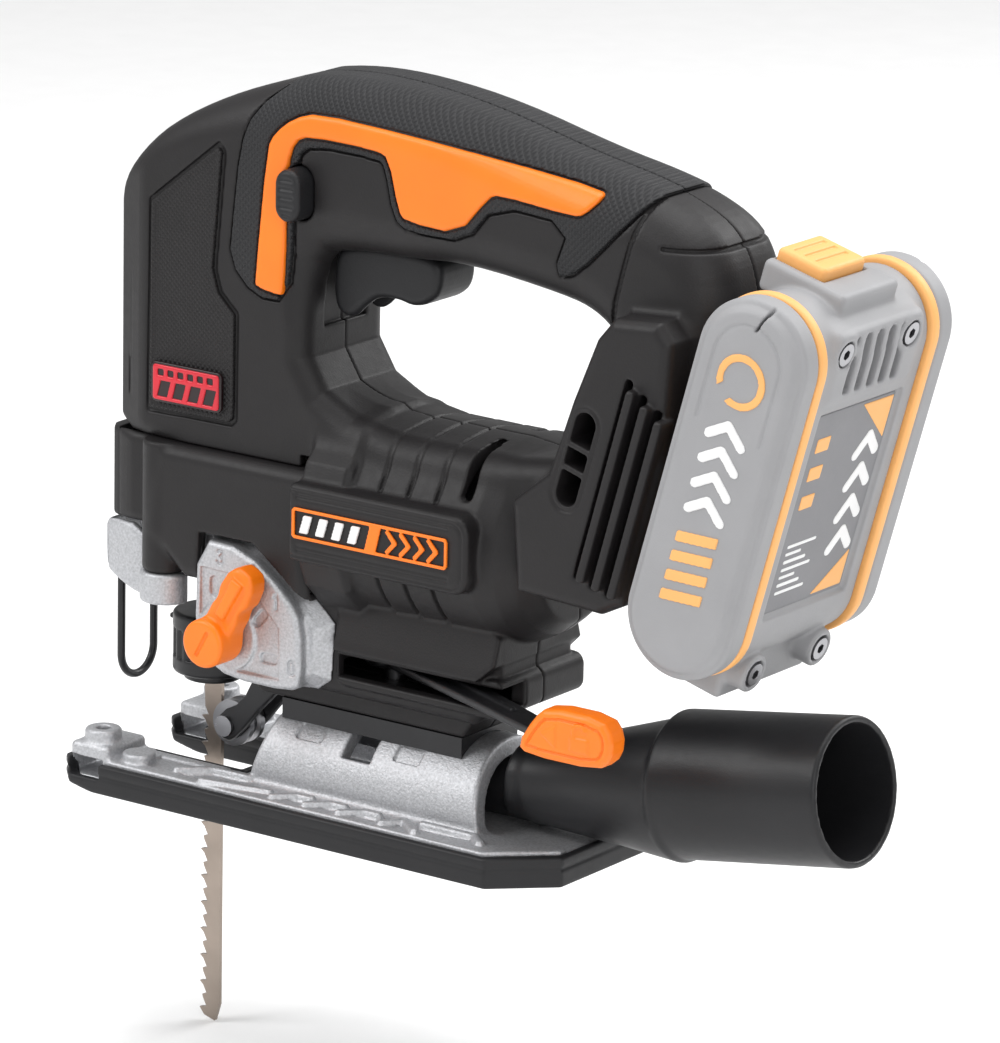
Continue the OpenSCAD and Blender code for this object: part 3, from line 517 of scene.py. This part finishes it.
def housings():
    for side, node in ((-1, "left_housing"), (1, "right_housing")):
        b = around(node, step=0.5)
        add(node + "_shell", b, housing_distance(b, side), M["black_plastic"], node)


housings()


# ---- Skins on the handle ----
def skin_block(side, x0, x1, z0, z1, step):
    return Block((x0, min(0, side * 21), z0), (x1, max(0, side * 21), z1), step)


def skins():
    for side, hand in ((-1, "left"), (1, "right")):
        b = skin_block(side, -36, 97, 140, 202, 0.45)
        handle = handle_distance(b)
        grip = outline_distance(GRIP, b.x, b.z)
        insert = outline_distance(INSERT, b.x, b.z)
        button = button_hole(b, 0.9)
        inner = both(SEAM - side * b.y, -handle - SKIN_DEPTH)
        flat = both(both(grip, -(insert - 0.5)), -button)
        rubber = both(both(flat, handle - 0.75, 0.5), inner)
        add(hand + "_grip_skin", b, rubber, M["soft_grip"], hand + "_grip")
        flat = both(insert, -button)
        cover = both(both(flat, handle - 1.3, 0.9), inner)
        add(hand + "_insert_cover", b, cover, M["orange_plastic"], hand + "_insert")
        b = skin_block(side, -62, -29, 103, 182, 0.45)
        handle = handle_distance(b)
        flat = outline_distance(PANEL, b.x, b.z)
        inner = both(SEAM - side * b.y, -handle - SKIN_DEPTH)
        panel = both(both(flat + 0.5, handle - 0.4, 0.4), inner)
        rim = both(np.abs(flat + 1.1) - 0.6, handle - 0.75, 0.4)
        add(hand + "_panel", b, either(panel, both(rim, inner)), M["panel_plastic"], hand + "_side_panel")


def badge():
    """A plain two-tone badge with bars, with no wording."""
    low, high = (np.array(v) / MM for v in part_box("front_badge"))
    b = Block(low, high, 0.3)
    face = panel_distance(b.x, b.z, (-57.7, 108.2), (-34.2, 119.2), 1.6)
    across = np.abs(b.y)
    backing = both(both(face, across - 20.8, 0.2), 19.8 - across)
    add("badge_backing", b, backing, M["badge_dark"], "front_badge", trim=True)
    plate = both(both(face + 0.7, across - 21.2, 0.2), 20.0 - across)
    for k in range(4):
        bar = [(x + 5.1 * k, z) for x, z in ((-55.6, 109.9), (-52.2, 109.9), (-51, 114.2), (-54.4, 114.2))]
        plate = np.maximum(plate, -outline_distance(bar, b.x, b.z))
    for k in range(6):
        dash = panel_distance(b.x, b.z, (-55.4 + 3.3 * k, 115.6), (-53.3 + 3.3 * k, 117.4), 0.3)
        plate = np.maximum(plate, -dash)
    add("badge_plate", b, plate, M["badge_red"], "front_badge")


def labels():
    """Generic bars and chevrons in an outlined frame."""
    for hand in ("left", "right"):
        low, high = (np.array(v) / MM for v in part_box(hand + "_label"))
        b = Block(low, high, 0.3)
        shape = panel_distance(b.x, b.z, (-2, 82.6), (48, 91), 1.2)
        across = np.abs(b.y)
        height = both(across - 32.0, 31.3 - across)
        plate = both(np.abs(shape + 0.45) - 0.45, height)
        slash = outline_distance([(21.5, 82.8), (25, 82.8), (27, 90.8), (23.5, 90.8)], b.x, b.z)
        plate = either(plate, both(slash, height))
        for k in range(4):
            x = 29 + 4.4 * k
            chevron = path_distance([(x, 84.2), (x + 2.4, 86.8), (x, 89.4)], b.x, b.z) - 0.6
            plate = either(plate, both(chevron, height))
        add(hand + "_label_plate", b, plate, M["orange_plastic"], hand + "_label")
        marks = FAR
        for k in range(4):
            x = 0.4 + 5.2 * k
            bar = outline_distance([(x, 84.3), (x + 2.7, 84.3), (x + 4.2, 89.3), (x + 1.5, 89.3)], b.x, b.z)
            marks = np.minimum(marks, bar)
        add(hand + "_label_marks", b, both(marks, height), M["label_white"], hand + "_label", trim=True)


skins()
badge()
labels()


# ---- Controls ----
def trigger():
    b = around("trigger", step=0.4)
    outline = soft([(-7.5, 140), (-4, 137), (-0.5, 137.5), (3, 141), (7, 144), (13.5, 144.2), (18, 143),
                    (23, 144.4), (27, 148), (27.4, 156), (20, 158), (-4, 157), (-7.5, 152)], 2)
    d = b.side(outline, -8.4, 8.4, 2.2)
    d = either(d, b.rod_y(*TRIGGER_PIVOT, 4, -8.4, 8.4, 0.8), 1)
    dish = np.hypot(b.z - 126, (b.x - 9) * 0.55) - 18.2
    d = without(d, both(dish, np.abs(b.y) - 5.6, 1), 0.8)
    d = without(d, b.rod_y(*TRIGGER_PIVOT, 2.06, -20, 20))
    d = without(d, b.rod_z(14, 0, 2.6, 153, 175))
    add("trigger_lever", b, d, M["dark_plastic"], "trigger")


def lock_button():
    b = around("lock_button", step=0.45)
    d = both(button_hole(b, 0.0) + 0 * b.y, np.abs(b.y) - 25.5, 1.6)
    ridge = np.abs(((b.z - BUTTON[1] + 100) % 2.4) - 1.2) - 0.45
    d = without(d, both(both(ridge + 0 * b.x, 25.1 - np.abs(b.y)), button_hole(b, -1.6)), 0.2)
    add("lock_push_button", b, d, M["dark_plastic"], "lock_button")


def pendulum_knob():
    """Drawn pointing along +X from the origin, then turned to the second step."""
    b = Block((-7.5, -36, -7.5), (25, -8, 7.5), 0.35)
    hub = b.rod_y(0, 0, 6.6, -35.5, -25.3, 1.2)
    arm = [(0, -5), (8, -4.6), (19, -5.2), (23.5, -3), (24, 0), (23.5, 3), (19, 5.2), (8, 4.6), (0, 5)]
    d = either(hub, b.side(soft(arm, 1), -32.5, -25.3, 1.6), 1.2)
    d = either(d, b.side([(9, -1.5), (21, -1.9), (21, 1.9), (9, 1.5)], -34.2, -32, 0.8), 0.8)
    waist = either(np.hypot(b.x - 12.5, b.z - 7.2), np.hypot(b.x - 12.5, b.z + 7.2)) - 3.1
    d = without(d, waist + 0 * b.y, 0.8)
    d = without(d, b.side([(-4, -0.5), (4, -0.5), (4, 0.5), (-4, 0.5)], -36, -34.9), 0.2)
    d = either(d, b.rod_y(0, 0, 4, -25.4, -9))
    pivot = Vector((SELECTOR[0], 0, SELECTOR[1])) * MM
    place = Matrix.Translation(pivot) @ Matrix.Rotation(SELECTOR_TURN, 4, "Y")
    add("selector_knob", b, d, M["orange_plastic"], "pendulum_knob", place=place)


DIGITS = {
    "0": [[(-0.9, -1.2), (-0.9, 1.2), (-0.4, 1.8), (0.4, 1.8), (0.9, 1.2), (0.9, -1.2), (0.4, -1.8),
           (-0.4, -1.8), (-0.9, -1.2)]],
    "1": [[(-0.6, 1.1), (0.1, 1.8), (0.1, -1.8)]],
    "2": [[(-0.9, 1.1), (-0.4, 1.8), (0.5, 1.8), (0.9, 1.1), (0.8, 0.3), (-0.9, -1.8), (1, -1.8)]],
    "3": [[(-0.9, 1.3), (-0.3, 1.8), (0.5, 1.8), (0.9, 1.2), (0.7, 0.4), (0, 0.1), (0.7, -0.2), (0.95, -1),
           (0.5, -1.8), (-0.4, -1.8), (-0.9, -1.3)]],
}


def pendulum_plate():
    b = around("pendulum_plate", step=0.35)
    outer = soft([(-39, 74.5), (-39.8, 46), (-35, 41), (-28, 37.6), (-8, 37.6), (-4, 40), (-4.3, 57),
                  (-8.5, 63), (-23.8, 74)], 1)
    face = outline_distance(outer, b.x, b.z)
    d = both(face, slab(b.y, -25, -17.5), 1.6)
    flare = outline_distance(PLATE_FOOT, b.x, b.z) + np.maximum(-17.5 - b.y, 0) * 1.1
    d = either(d, both(flare, slab(b.y, -21.5, -17.5), 0.4), 1.5)
    recess = [(-37.4, 67), (-23.4, 66.6), (-11.4, 54.6), (-11, 40.4), (-27, 40.4), (-37.4, 48.6)]
    d = without(d, both(outline_distance(recess, b.x, b.z), b.y + 24.2, 0.3), 0.3)
    for x, z, turn in ((-33.4, 62, 90), (-18, 56, 50), (-15, 45.4, 0)):
        reach = (1.5 * math.cos(math.radians(turn)), 1.5 * math.sin(math.radians(turn)))
        oval = path_distance([(x - reach[0], z - reach[1]), (x + reach[0], z + reach[1])], b.x, b.z) - 1.3
        d = without(d, both(oval, b.y + 23.4), 0.4)
    fan_shape = np.hypot(b.x - SELECTOR[0], b.z - SELECTOR[1])
    d = either(d, both(fan_shape - 9.5, slab(b.y, -25, -22), 0.5), 0.6)
    for digit, cx, cz in (("3", -31, 70.6), ("2", -19.4, 68.2), ("1", -12.2, 61.6), ("0", -6.9, 44.4)):
        strokes = FAR
        for stroke in DIGITS[digit]:
            strokes = np.minimum(strokes, path_distance([(cx + x, cz + z) for x, z in stroke], b.x, b.z))
        d = without(d, both(strokes - 0.38, b.y + 24.45))
    d = without(d, b.rod_y(*SELECTOR, 4.06, -30, -10))
    add("selector_plate", b, d, M["cast_silver"], "pendulum_plate")


def bevel_lever():
    """Drawn with the arm along +X from the pivot, then turned outward."""
    b = Block((-9, -9, 43), (101, 9, 51), 0.45)
    arm = soft([(-2, -7), (40, -4.8), (78, -4), (99, -3), (99, 3), (78, 3.6), (40, 4.8), (-2, 7)], 1)
    d = b.plan(arm, 44.6, 47.0, 0.6)
    d = either(d, b.rod_z(0, 0, 8, 43.6, 50.2, 0.8), 1)
    d = either(d, b.plan([(14, -1), (62, -0.8), (62, 0.8), (14, 1)], 46, 47.8, 0.5), 0.8)
    d = without(d, b.rod_z(0, 0, 3.06, 30, 60))
    place = Matrix.Translation(Vector((LEVER_X, 0, 0)) * MM) @ Matrix.Rotation(LEVER_TURN, 4, "Z")
    add("bevel_lever_arm", b, d, M["dark_steel"], "bevel_arm", place=place)
    b = around("bevel_grip", step=0.35)
    outline = soft([(79, 45), (82, 42.6), (104, 42.6), (108, 46), (108.6, 52), (105, 56.5), (88, 56.5),
                    (84, 53)], 1)
    flat = outline_distance(outline, b.x, b.z)
    d = both(flat, slab(b.y, -43.6, -36), 1.8)
    d = without(d, both(np.abs(flat + 2.4) - 0.3, b.y + 43.1), 0.2)
    triangle = outline_distance([(87, 49.5), (91.5, 46.6), (91.5, 52.4)], b.x, b.z)
    d = either(d, both(triangle, slab(b.y, -44, -43), 0.2))
    lock = outline_distance([(96, 46.6), (101.6, 46.6), (101.6, 50.4), (96, 50.4)], b.x, b.z)
    hoop = [(97, 50.4), (97, 52.4), (98, 53.6), (99.6, 53.6), (100.6, 52.4)]
    shackle = path_distance(hoop, b.x, b.z) - 0.4
    d = either(d, both(either(lock, shackle), slab(b.y, -44, -43), 0.2))
    add("bevel_lever_grip", b, d, M["orange_plastic"], "bevel_grip")


trigger()
lock_button()
pendulum_knob()
pendulum_plate()
bevel_lever()


# ---- Front castings ----
def gear_cover():
    b = around("gear_cover", step=0.55)
    front = [(-78, 73), (-60, 73), (-60, 62), (-3, 62), (-3, 98), (-76, 98)]
    d = b.side(front, -19, 19, 3)
    above = [(-78, -11), (-74, -16), (-66, -19), (0, -19), (0, 19), (-66, 19), (-74, 16), (-78, 11)]
    d = both(d, outline_distance(above, b.x, b.y), 1.2)
    d = either(d, b.side([(-58, 73), (-45, 62), (-3, 62), (-3, 98), (-54, 98)], -24, 24, 4), 2)
    for s in (-1, 1):
        d = either(d, b.rod_z(-55, s * 18, 6, 61.6, 98, 1.2), 1.5)
    d = without(d, b.box((-72, -16.5, 55), (-30, 16.5, 99)))
    d = without(d, b.box((-42, -21.5, 64.5), (-2, 21.5, 92)))
    d = without(d, b.box((-42, -16.5, 90), (-2, 16.5, 99.5)))
    d = without(d, b.side(PLATE_FOOT, -40, -17.45))
    d = without(d, b.rod_z(-73.8, 0, 2.7, 70, 76.6))
    d = both(d, b.z - 97.85, 0.3)
    add("gear_cover_shell", b, d, M["black_plastic"], "gear_cover")


def front_bracket():
    b = around("front_bracket", step=0.4)
    outline = [(-79.9, 72.5), (-79.9, 59), (-70, 55.5), (-62, 53), (-49, 53), (-49, 61.5), (-61.1, 61.5),
               (-61.1, 72.5)]
    d = b.side(soft(outline, 1), -19.5, 19.5, 1.6)
    above = [(-79.9, -12), (-75, -17), (-66, -19.5), (-40, -19.5), (-40, 19.5), (-66, 19.5), (-75, 17),
             (-79.9, 12)]
    d = both(d, outline_distance(above, b.x, b.y), 1.2)
    for s in (-1, 1):
        d = either(d, b.rod_z(-55, s * 17.5, 7, 53, 61.5, 1), 1.2)
    d = without(d, b.box((-76.5, -16.5, 50), (-40, 16.5, 80), 0.5), 0.5)
    for s in (-1, 1):
        d = without(d, b.rod_z(-78.5, s * 7, 1.15, 50, 62))
        d = either(d, b.box((-79.9, s * 7 - 2.6, 59.5), (-76.6, s * 7 + 2.6, 66), 0.9), 0.8)
        d = without(d, b.rod_z(-78.5, s * 7, 1.15, 50, 62.2))
    add("front_bracket_casting", b, d, M["cast_silver"], "front_bracket")


def blade_clamp():
    b = around("blade_clamp", step=0.35)
    x = -52.3
    d = either(b.rod_z(x, 0, 11, 30, 47, 1.2), b.rod_z(x, 0, 8, 28, 31, 0.6), 0.6)
    d = either(d, b.box((-66, -2.2, 36), (-60, 2.2, 44), 0.8), 0.8)
    angle = np.arctan2(b.y, b.x - x)
    flutes = np.hypot(b.x - x, b.y) - 10.6 + 0.5 * np.cos(angle * 20)
    d = both(d, either(flutes + 0 * b.z, 4 - np.abs(b.z - 38.5 + 0 * b.x)), 0.3)
    d = without(d, b.rod_z(x, 0, 4.56, 20, 60))
    add("blade_clamp_ring", b, d, M["dark_steel"], "blade_clamp")


def roller_arm():
    b = around("roller_arm", step=0.35)
    leg = soft([(-47, 15.5), (-43, 12.6), (-39.5, 14.5), (-30, 26), (-16, 39), (-15.5, 44), (-20, 47),
                (-25, 44), (-33, 34), (-38, 24.5), (-45, 21)], 1)
    flat = outline_distance(leg, b.x, b.z)
    d = both(flat, np.abs(np.abs(b.y) - 4.9) - 1.3, 0.5)
    bridge = [(-31, 29), (-16, 41), (-15.5, 44), (-20, 47), (-25, 44), (-31, 36)]
    d = either(d, b.side(bridge, -6.2, 6.2, 0.6), 0.5)
    d = without(d, b.rod_y(-20, 42, 2.06, -20, 20))
    d = without(d, b.rod_y(-43.3, 17.3, 2.02, -20, 20))
    add("roller_arm_fork", b, d, M["dark_steel"], "roller_arm")


gear_cover()
front_bracket()
blade_clamp()
roller_arm()


# ---- Base ----
SOLE_BACK, SOLE_HALF, PRONG = 78.5, 34.5, 12.0
SHOE_TOP, PLATE_TOP = 8.7, 9.5
TILT_Z = 10
ARCH_R, TUNNEL_R = 20, 15.3
GUIDE_SCREW = (-69.4, 25.8)


def sole(inset):
    """The sole's outline from above, with the slot between the two prongs."""
    f, r, w, s = -SOLE_BACK + inset, SOLE_BACK - inset, SOLE_HALF - inset, PRONG + inset
    slot_end = -33 + inset
    return [(r, w - 14), (r - 15, w), (f + 4, w), (f, w - 4), (f, s + 3), (f + 3, s), (slot_end, s),
            (slot_end, -s), (f + 3, -s), (f, -s - 3), (f, -w + 4), (f + 4, -w), (r - 15, -w), (r, -w + 14)]


def nose(b, lift):
    """What lies above the sole, which rises over its front 12 mm."""
    f = -SOLE_BACK
    outline = [(f - 9, lift + 4.6), (f + 12, lift), (120, lift), (120, 90), (f - 9, 90)]
    return outline_distance(outline, b.x, b.z)


def guide_slots(b):
    return b.box((-75.5, -60, 4.4), (-64.5, 60, 9.4), 0.4)


def base_shoe():
    b = around("base_shoe", step=0.5)
    d = both(b.plan(sole(0), 0, SHOE_TOP, 0.9), nose(b, 0), 1.2)
    rim = np.abs(outline_distance(sole(0), b.x, b.y))
    d = without(d, both(rim - 0.35, np.abs(b.z - 5.6) - 0.4), 0.2)
    d = without(d, both(b.plan(sole(2.2), -5, 30), nose(b, 1.6)))
    d = without(d, guide_slots(b), 0.4)
    add("sole_shoe", b, d, M["dark_plastic"], "base_shoe")


def base_plate():
    b = around("base_plate", "base_arch", step=0.45)
    d = both(b.plan(sole(2.3), 1.7, PLATE_TOP, 0.7), nose(b, 1.7))
    tray = outline_distance(soft(sole(6.5), 1), b.x, b.y)
    tray = both(tray, -55 - b.x + 0 * b.y)
    d = without(d, both(tray, 8.7 - b.z), 0.5)
    arch_side = outline_distance([(-25, 8), (51, 8), (46.3, 31), (-19.5, 31)], b.x, b.z)
    shell = both(np.hypot(b.y, b.z - TILT_Z) - ARCH_R, both(arch_side, 6.5 - b.z), 1.0)
    d = either(d, shell, 3)
    bars = [[(-43, 27), (-35.6, 20.6), (-24, 20.2)], [(-32, 30.6), (-12, 27)],
            [(27, 29.6), (31, 24.6), (38, 30)], [(36, 23.6), (53, 23.6), (57, 27.4)]]
    bars += [[(x - 5, 29.6), (x, 24.8), (x + 4.4, 24.8)] for x in (-4.0, 7.0, 18.0)]
    for s in (-1, 1):
        low, high = sorted((s * 15, s * 32))
        d = either(d, b.box((-76, low, 6), (-63, high, 13), 1.4), 1.5)
        d = either(d, b.rod_z(GUIDE_SCREW[0], s * GUIDE_SCREW[1], 5, 9, 16.5, 1), 1.5)
        d = either(d, b.rod_z(-57, s * 26, 4.5, 8, 12, 0.8), 1)
        for bar in bars:
            ridge = path_distance([(x, s * y) for x, y in bar], b.x, b.y) - 1.9 + (b.z - 8) * 0.35
            d = either(d, both(ridge, slab(b.z, 8, 10.8), 0.5), 0.5)
        for x0 in (-12, 20):
            pocket = both(slab(b.x, x0, x0 + 8), np.abs(np.abs(b.y) - 13.5) - 2, 0.6)
            d = without(d, both(pocket, 19.2 - np.hypot(b.y, b.z - TILT_Z)), 0.3)
    tunnel = both(b.rod_x(0, TILT_Z, TUNNEL_R, -60, 80), 8.2 - b.z)
    d = without(d, tunnel, 0.6)
    for s in (-1, 1):
        d = without(d, b.rod_z(GUIDE_SCREW[0], s * GUIDE_SCREW[1], 2.1, 7, 30), 0.3)
    spread = np.abs(b.y) * 20.2 / 33 - (b.z - TILT_Z)
    window = both(spread, both(slab(b.x, 4, 13.4), 12 - b.z, 1), 0.5)
    d = without(d, window, 0.5)
    under = outline_distance(sole(6), b.x, b.y)
    d = without(d, both(both(under, slab(b.z, 1, 5.6)), -60 - b.x + 0 * b.y))
    d = without(d, guide_slots(b), 0.4)
    add("cast_base", b, d, M["cast_silver"], "base_plate", "base_arch")


def dust_tube():
    b = around("dust_tube", step=0.55)
    lean = math.radians(9)
    c, s = math.cos(lean), math.sin(lean)

    def along(x0, z0):
        dx, dz = b.x - x0, b.z - z0
        return dx * c + dz * s, np.hypot(b.y, -dx * s + dz * c)

    t, r = along(103, 28.6)
    mouth = both(r - 19.5, slab(t, 0, 52), 1.0)
    neck_t, neck_r = along(58, 20)
    neck = both((neck_r - 10.4 - neck_t * 0.19) * 0.98, slab(neck_t, 0, 46), 1)
    throat = both(np.hypot(b.y, b.z - 20) - 11, b.box((52, -11, 12), (84, 11, 31), 1.5), 1)
    d = either(either(mouth, neck, 2), throat, 4)
    d = either(d, b.rod_x(0, 16.6, 7.6, 24, 60, 0.6), 3)
    d = without(d, b.rod_x(0, 16.6, 5.8, 10, 110))
    d = without(d, both((neck_r - 8 - neck_t * 0.11) * 0.98, slab(neck_t, 2, 50)), 1)
    d = without(d, both(r - 17.6, slab(t, 2.025, 80), 1), 0.5)
    add("dust_outlet", b, d, M["tube_plastic"], "dust_tube")


base_shoe()
base_plate()
dust_tube()


# ---- Battery, drawn in its own leaning frame ----
BATTERY_PLACE = (Matrix.Translation(Vector((BATTERY_AT[0], 0, BATTERY_AT[1])) * MM)
                 @ Matrix.Rotation(BATTERY_LEAN, 4, "Y"))


def stadium(b, radius):
    """Distance to the battery's round-ended side outline."""
    return path_distance([(17, -2.5), (17, 69)], b.x, b.z) - radius


def battery_case():
    b = Block((0, -24, -25), (33, 24, 88), 0.5)
    d = both(stadium(b, 15) + 0 * b.y, np.abs(b.y) - 23.9, 0.8)
    d = either(d, b.box((0.6, -23.9, -2.5), (10, 23.9, 69)))
    d = either(d, b.box((7, -20, -25), (26, 20, -8), 1.5), 1)
    d = either(d, b.box((1, -13, 78), (26, 13, 86.6), 1.6), 1)
    d = either(d, b.box((22, -20, 60), (31.9, 20, 80), 2.5), 2)
    d = without(d, b.box((30.6, -19, 0), (40, 19, 58), 1), 0.6)
    for k in range(5):
        y = -12.5 + 5.4 * k
        d = without(d, b.box((27.4, y, 62.5), (40, y + 3.3, 78), 1.2), 0.5)
    for y, z in ((15, -16), (-15, -16), (15, 74), (-15, 74)):
        d = either(d, b.rod_x(y, z, 5.2, 20, 31.8, 0.8), 1.5)
        d = without(d, b.rod_x(y, z, 3.6, 29, 50), 0.3)
    d = without(d, b.box((8.6, -21, 1), (28.5, 21, 65)))
    d = without(d, b.box((0, -15.4, -40), (3, 15.4, 50.4)))
    d = without(d, b.box((2.2, -18.4, -40), (5.8, 18.4, 50.4)))
    for y in (-12, -4, 4, 12):
        d = without(d, b.box((5, y - 1.25, 4), (9, y + 1.25, 20)))
    d = without(d, b.box((1.6, -9.9, 82.5), (17.4, 9.9, 100)), 0.4)
    add("battery_body", b, d, M["battery_grey"], "battery_case", place=BATTERY_PLACE)


def battery_sides():
    for s, hand in ((-1, "near"), (1, "far")):
        low, high = sorted((s * 24, s * 36.6))
        b = Block((0, low, -20), (34, high, 87), 0.45)
        across = s * b.y
        cap = both(stadium(b, 16.2) + 0 * b.y, slab(across, 27.5, 34), 1.2)
        cap = either(cap, both(stadium(b, 14.2), slab(across, 33, 36.1), 2), 1.5)
        cap = both(cap, 27.5 - across)
        line = np.abs(stadium(b, 9.8)) - 0.35
        line = both(line, 50 - b.z)
        cap = without(cap, both(line, 35.6 - across), 0.2)
        joint = path_distance([(17, 78), (20, 86)], b.x, b.z) - 0.35
        cap = without(cap, both(joint, 33.2 - across), 0.2)
        height = both(across - 36.45, 35.6 - across)
        ring = np.abs(np.hypot(b.x - 17, b.z - 64) - 6.2) - 1.0
        ring = np.maximum(ring, 2.2 - path_distance([(17, 64), (10, 57)], b.x, b.z))
        stripes = FAR
        for k in range(4):
            z = 1 + 5.4 * k
            stripe = outline_distance([(11, z), (23, z + 3), (23, z + 6), (11, z + 3)], b.x, b.z)
            stripes = np.minimum(stripes, stripe)
        add("battery_stripes_" + hand, b, both(np.minimum(ring, stripes), height), M["battery_orange"],
            "battery_caps", place=BATTERY_PLACE, trim=True)
        chevrons = FAR
        for k in range(4):
            z = 27 + 7 * k
            chevron = path_distance([(12, z), (17, z + 4), (22, z)], b.x, b.z) - 1.3
            chevrons = np.minimum(chevrons, chevron)
        add("battery_marks_" + hand, b, both(chevrons, height), M["label_white"],
            "battery_caps", place=BATTERY_PLACE, trim=True)
        add("battery_cap_" + hand, b, cap, M["battery_grey"], "battery_caps", place=BATTERY_PLACE)
        band = both(stadium(b, 16.5), slab(across, 24, 27.5), 0.9)
        add("battery_band_" + hand, b, band, M["battery_orange"], "battery_bands", place=BATTERY_PLACE)


def battery_label():
    """A plain printed panel at the back: bars, a wedge and a row of blocks."""
    b = Block((29.8, -19, 0), (31.4, 19, 58), 0.3)
    back = panel_distance(b.y, b.z, (-18, 1), (18, 57), 1.2)
    sheet = both(back, slab(b.x, 29.8, 30.8), 0.1)
    add("battery_panel", b, sheet, M["battery_dark"], "battery_case", place=BATTERY_PLACE, trim=True)
    height = slab(b.x, 30.5, 31.0)
    light = FAR
    for k in range(4):
        z = 14 + 9 * k
        arrow = path_distance([(6, z), (10.5, z + 5), (15, z)], b.y, b.z) - 1.5
        light = np.minimum(light, arrow)
    for k in range(7):
        row = panel_distance(b.y, b.z, (-15, 6 + 2.2 * k), (-2 - 3 * (k % 3), 7 + 2.2 * k), 0.3)
        light = np.minimum(light, row)
    add("battery_print", b, both(light, height), M["label_white"], "battery_case",
        place=BATTERY_PLACE, trim=True)
    warm = outline_distance([(17, 56), (17, 44), (3, 56)], b.y, b.z)
    warm = np.minimum(warm, outline_distance([(17, 2), (3, 2), (17, 12)], b.y, b.z))
    for k in range(3):
        block = panel_distance(b.y, b.z, (-15, 30 + 8 * k), (-9, 34 + 8 * k), 0.4)
        warm = np.minimum(warm, block)
    add("battery_wedges", b, both(warm, height), M["battery_orange"], "battery_case",
        place=BATTERY_PLACE, trim=True)


def battery_latch():
    b = Block((2, -9.5, 84.6), (17, 9.5, 89.5), 0.35)
    d = b.box((2, -9.5, 84.6), (17, 9.5, 89.5), 1.4)
    for k in range(3):
        d = without(d, b.box((5 + 3.4 * k, -7, 88.9), (6.2 + 3.4 * k, 7, 92), 0.2), 0.3)
    add("battery_release", b, d, M["battery_orange"], "battery_latch", place=BATTERY_PLACE)


battery_case()
battery_sides()
battery_label()
battery_latch()


# ---- Finishes of the CAD nodes that stay ----
def paint_nodes():
    special = {"blade": "blade_steel", "trigger_pin": "steel", "wire_guard": "dark_steel"}
    for name, node in frame["nodes"].items():
        finish = M[special.get(name, SLOT_OF[name])]
        node.data.materials.clear()
        node.data.materials.append(finish)


paint_nodes()


# ---- Floor, light and camera ----
# Metres for the floor and lights, degrees and millimetres for the camera, and watts.
FLOOR_GAP, FLOOR_HALF = 0.0005, 5.0
LIGHTS = {
    "key": ((-1.1, -1.2, 1.3), (0.9, 0.9), 17),
    "fill": ((1.4, -1.1, 0.8), (1.2, 1.0), 9),
    "top": ((0.1, 0.1, 1.6), (1.4, 1.4), 22),
    "back": ((0.5, 1.3, 1.0), (1.0, 0.8), 12),
}
LIT_POINT = (0.03, 0, 0.08)
WORLD_STRENGTH = 0.5
CAMERA_TURN, CAMERA_RISE, CAMERA_ROLL = 35.47, 15.34, 1.14
CAMERA_RIGHT, CAMERA_UP, CAMERA_BACK = 34.16, 78.39, 1803.66
SENSOR, LENS = 36, 232.93346


def floor():
    """A flat pale floor just below the blade's tip, open on every side for views from all round."""
    low = min(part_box(n)[0][2] for n in frame["nodes"]) - FLOOR_GAP
    half = FLOOR_HALF
    mesh = bpy.data.meshes.new("floor")
    corners = [(-half, -half, low), (half, -half, low), (half, half, low), (-half, half, low)]
    mesh.from_pydata(corners, [], [(0, 1, 2, 3)])
    mesh.materials.append(Finish("floor", (0.9, 0.9, 0.9), 0.8, spread=0.01).material)
    ground = bpy.data.objects.new("floor", mesh)
    bpy.context.collection.objects.link(ground)


def area_light(name, at, target, size, power):
    light = bpy.data.lights.new(name, "AREA")
    light.shape = "RECTANGLE"
    light.size, light.size_y = size
    light.energy = power
    lamp = bpy.data.objects.new(name, light)
    lamp.location = at
    lamp.rotation_euler = (Vector(target) - Vector(at)).to_track_quat("-Z", "Y").to_euler()
    bpy.context.collection.objects.link(lamp)


def lights():
    for name, (at, size, power) in LIGHTS.items():
        area_light(name, at, LIT_POINT, size, power)
    world = bpy.data.worlds.new("studio")
    world.use_nodes = True
    world.node_tree.nodes["Background"].inputs["Color"].default_value = (1, 1, 1, 1)
    world.node_tree.nodes["Background"].inputs["Strength"].default_value = WORLD_STRENGTH
    bpy.context.scene.world = world
    bpy.context.scene.view_settings.view_transform = "Standard"


def camera():
    """At the photograph's viewing angle: turned 35.5 degrees, 15.3 degrees up, 1.8 m away."""
    turn, rise, roll = (math.radians(v) for v in (CAMERA_TURN, CAMERA_RISE, CAMERA_ROLL))
    flat = math.cos(rise)
    back = Vector((math.sin(turn) * flat, -math.cos(turn) * flat, math.sin(rise)))
    right = Vector((math.cos(turn), math.sin(turn), 0))
    up = back.cross(right)
    centre = (right * CAMERA_RIGHT + up * CAMERA_UP + back * CAMERA_BACK) * MM
    x_axis = right * math.cos(roll) + up * math.sin(roll)
    y_axis = up * math.cos(roll) - right * math.sin(roll)
    data = bpy.data.cameras.new("camera")
    data.sensor_width = SENSOR
    data.lens = LENS
    data.clip_start = 0.05
    eye = bpy.data.objects.new("camera", data)
    eye.matrix_world = Matrix((
        (x_axis.x, y_axis.x, back.x, centre.x),
        (x_axis.y, y_axis.y, back.y, centre.y),
        (x_axis.z, y_axis.z, back.z, centre.z),
        (0, 0, 0, 1)))
    bpy.context.collection.objects.link(eye)
    bpy.context.scene.camera = eye


floor()
lights()
camera()
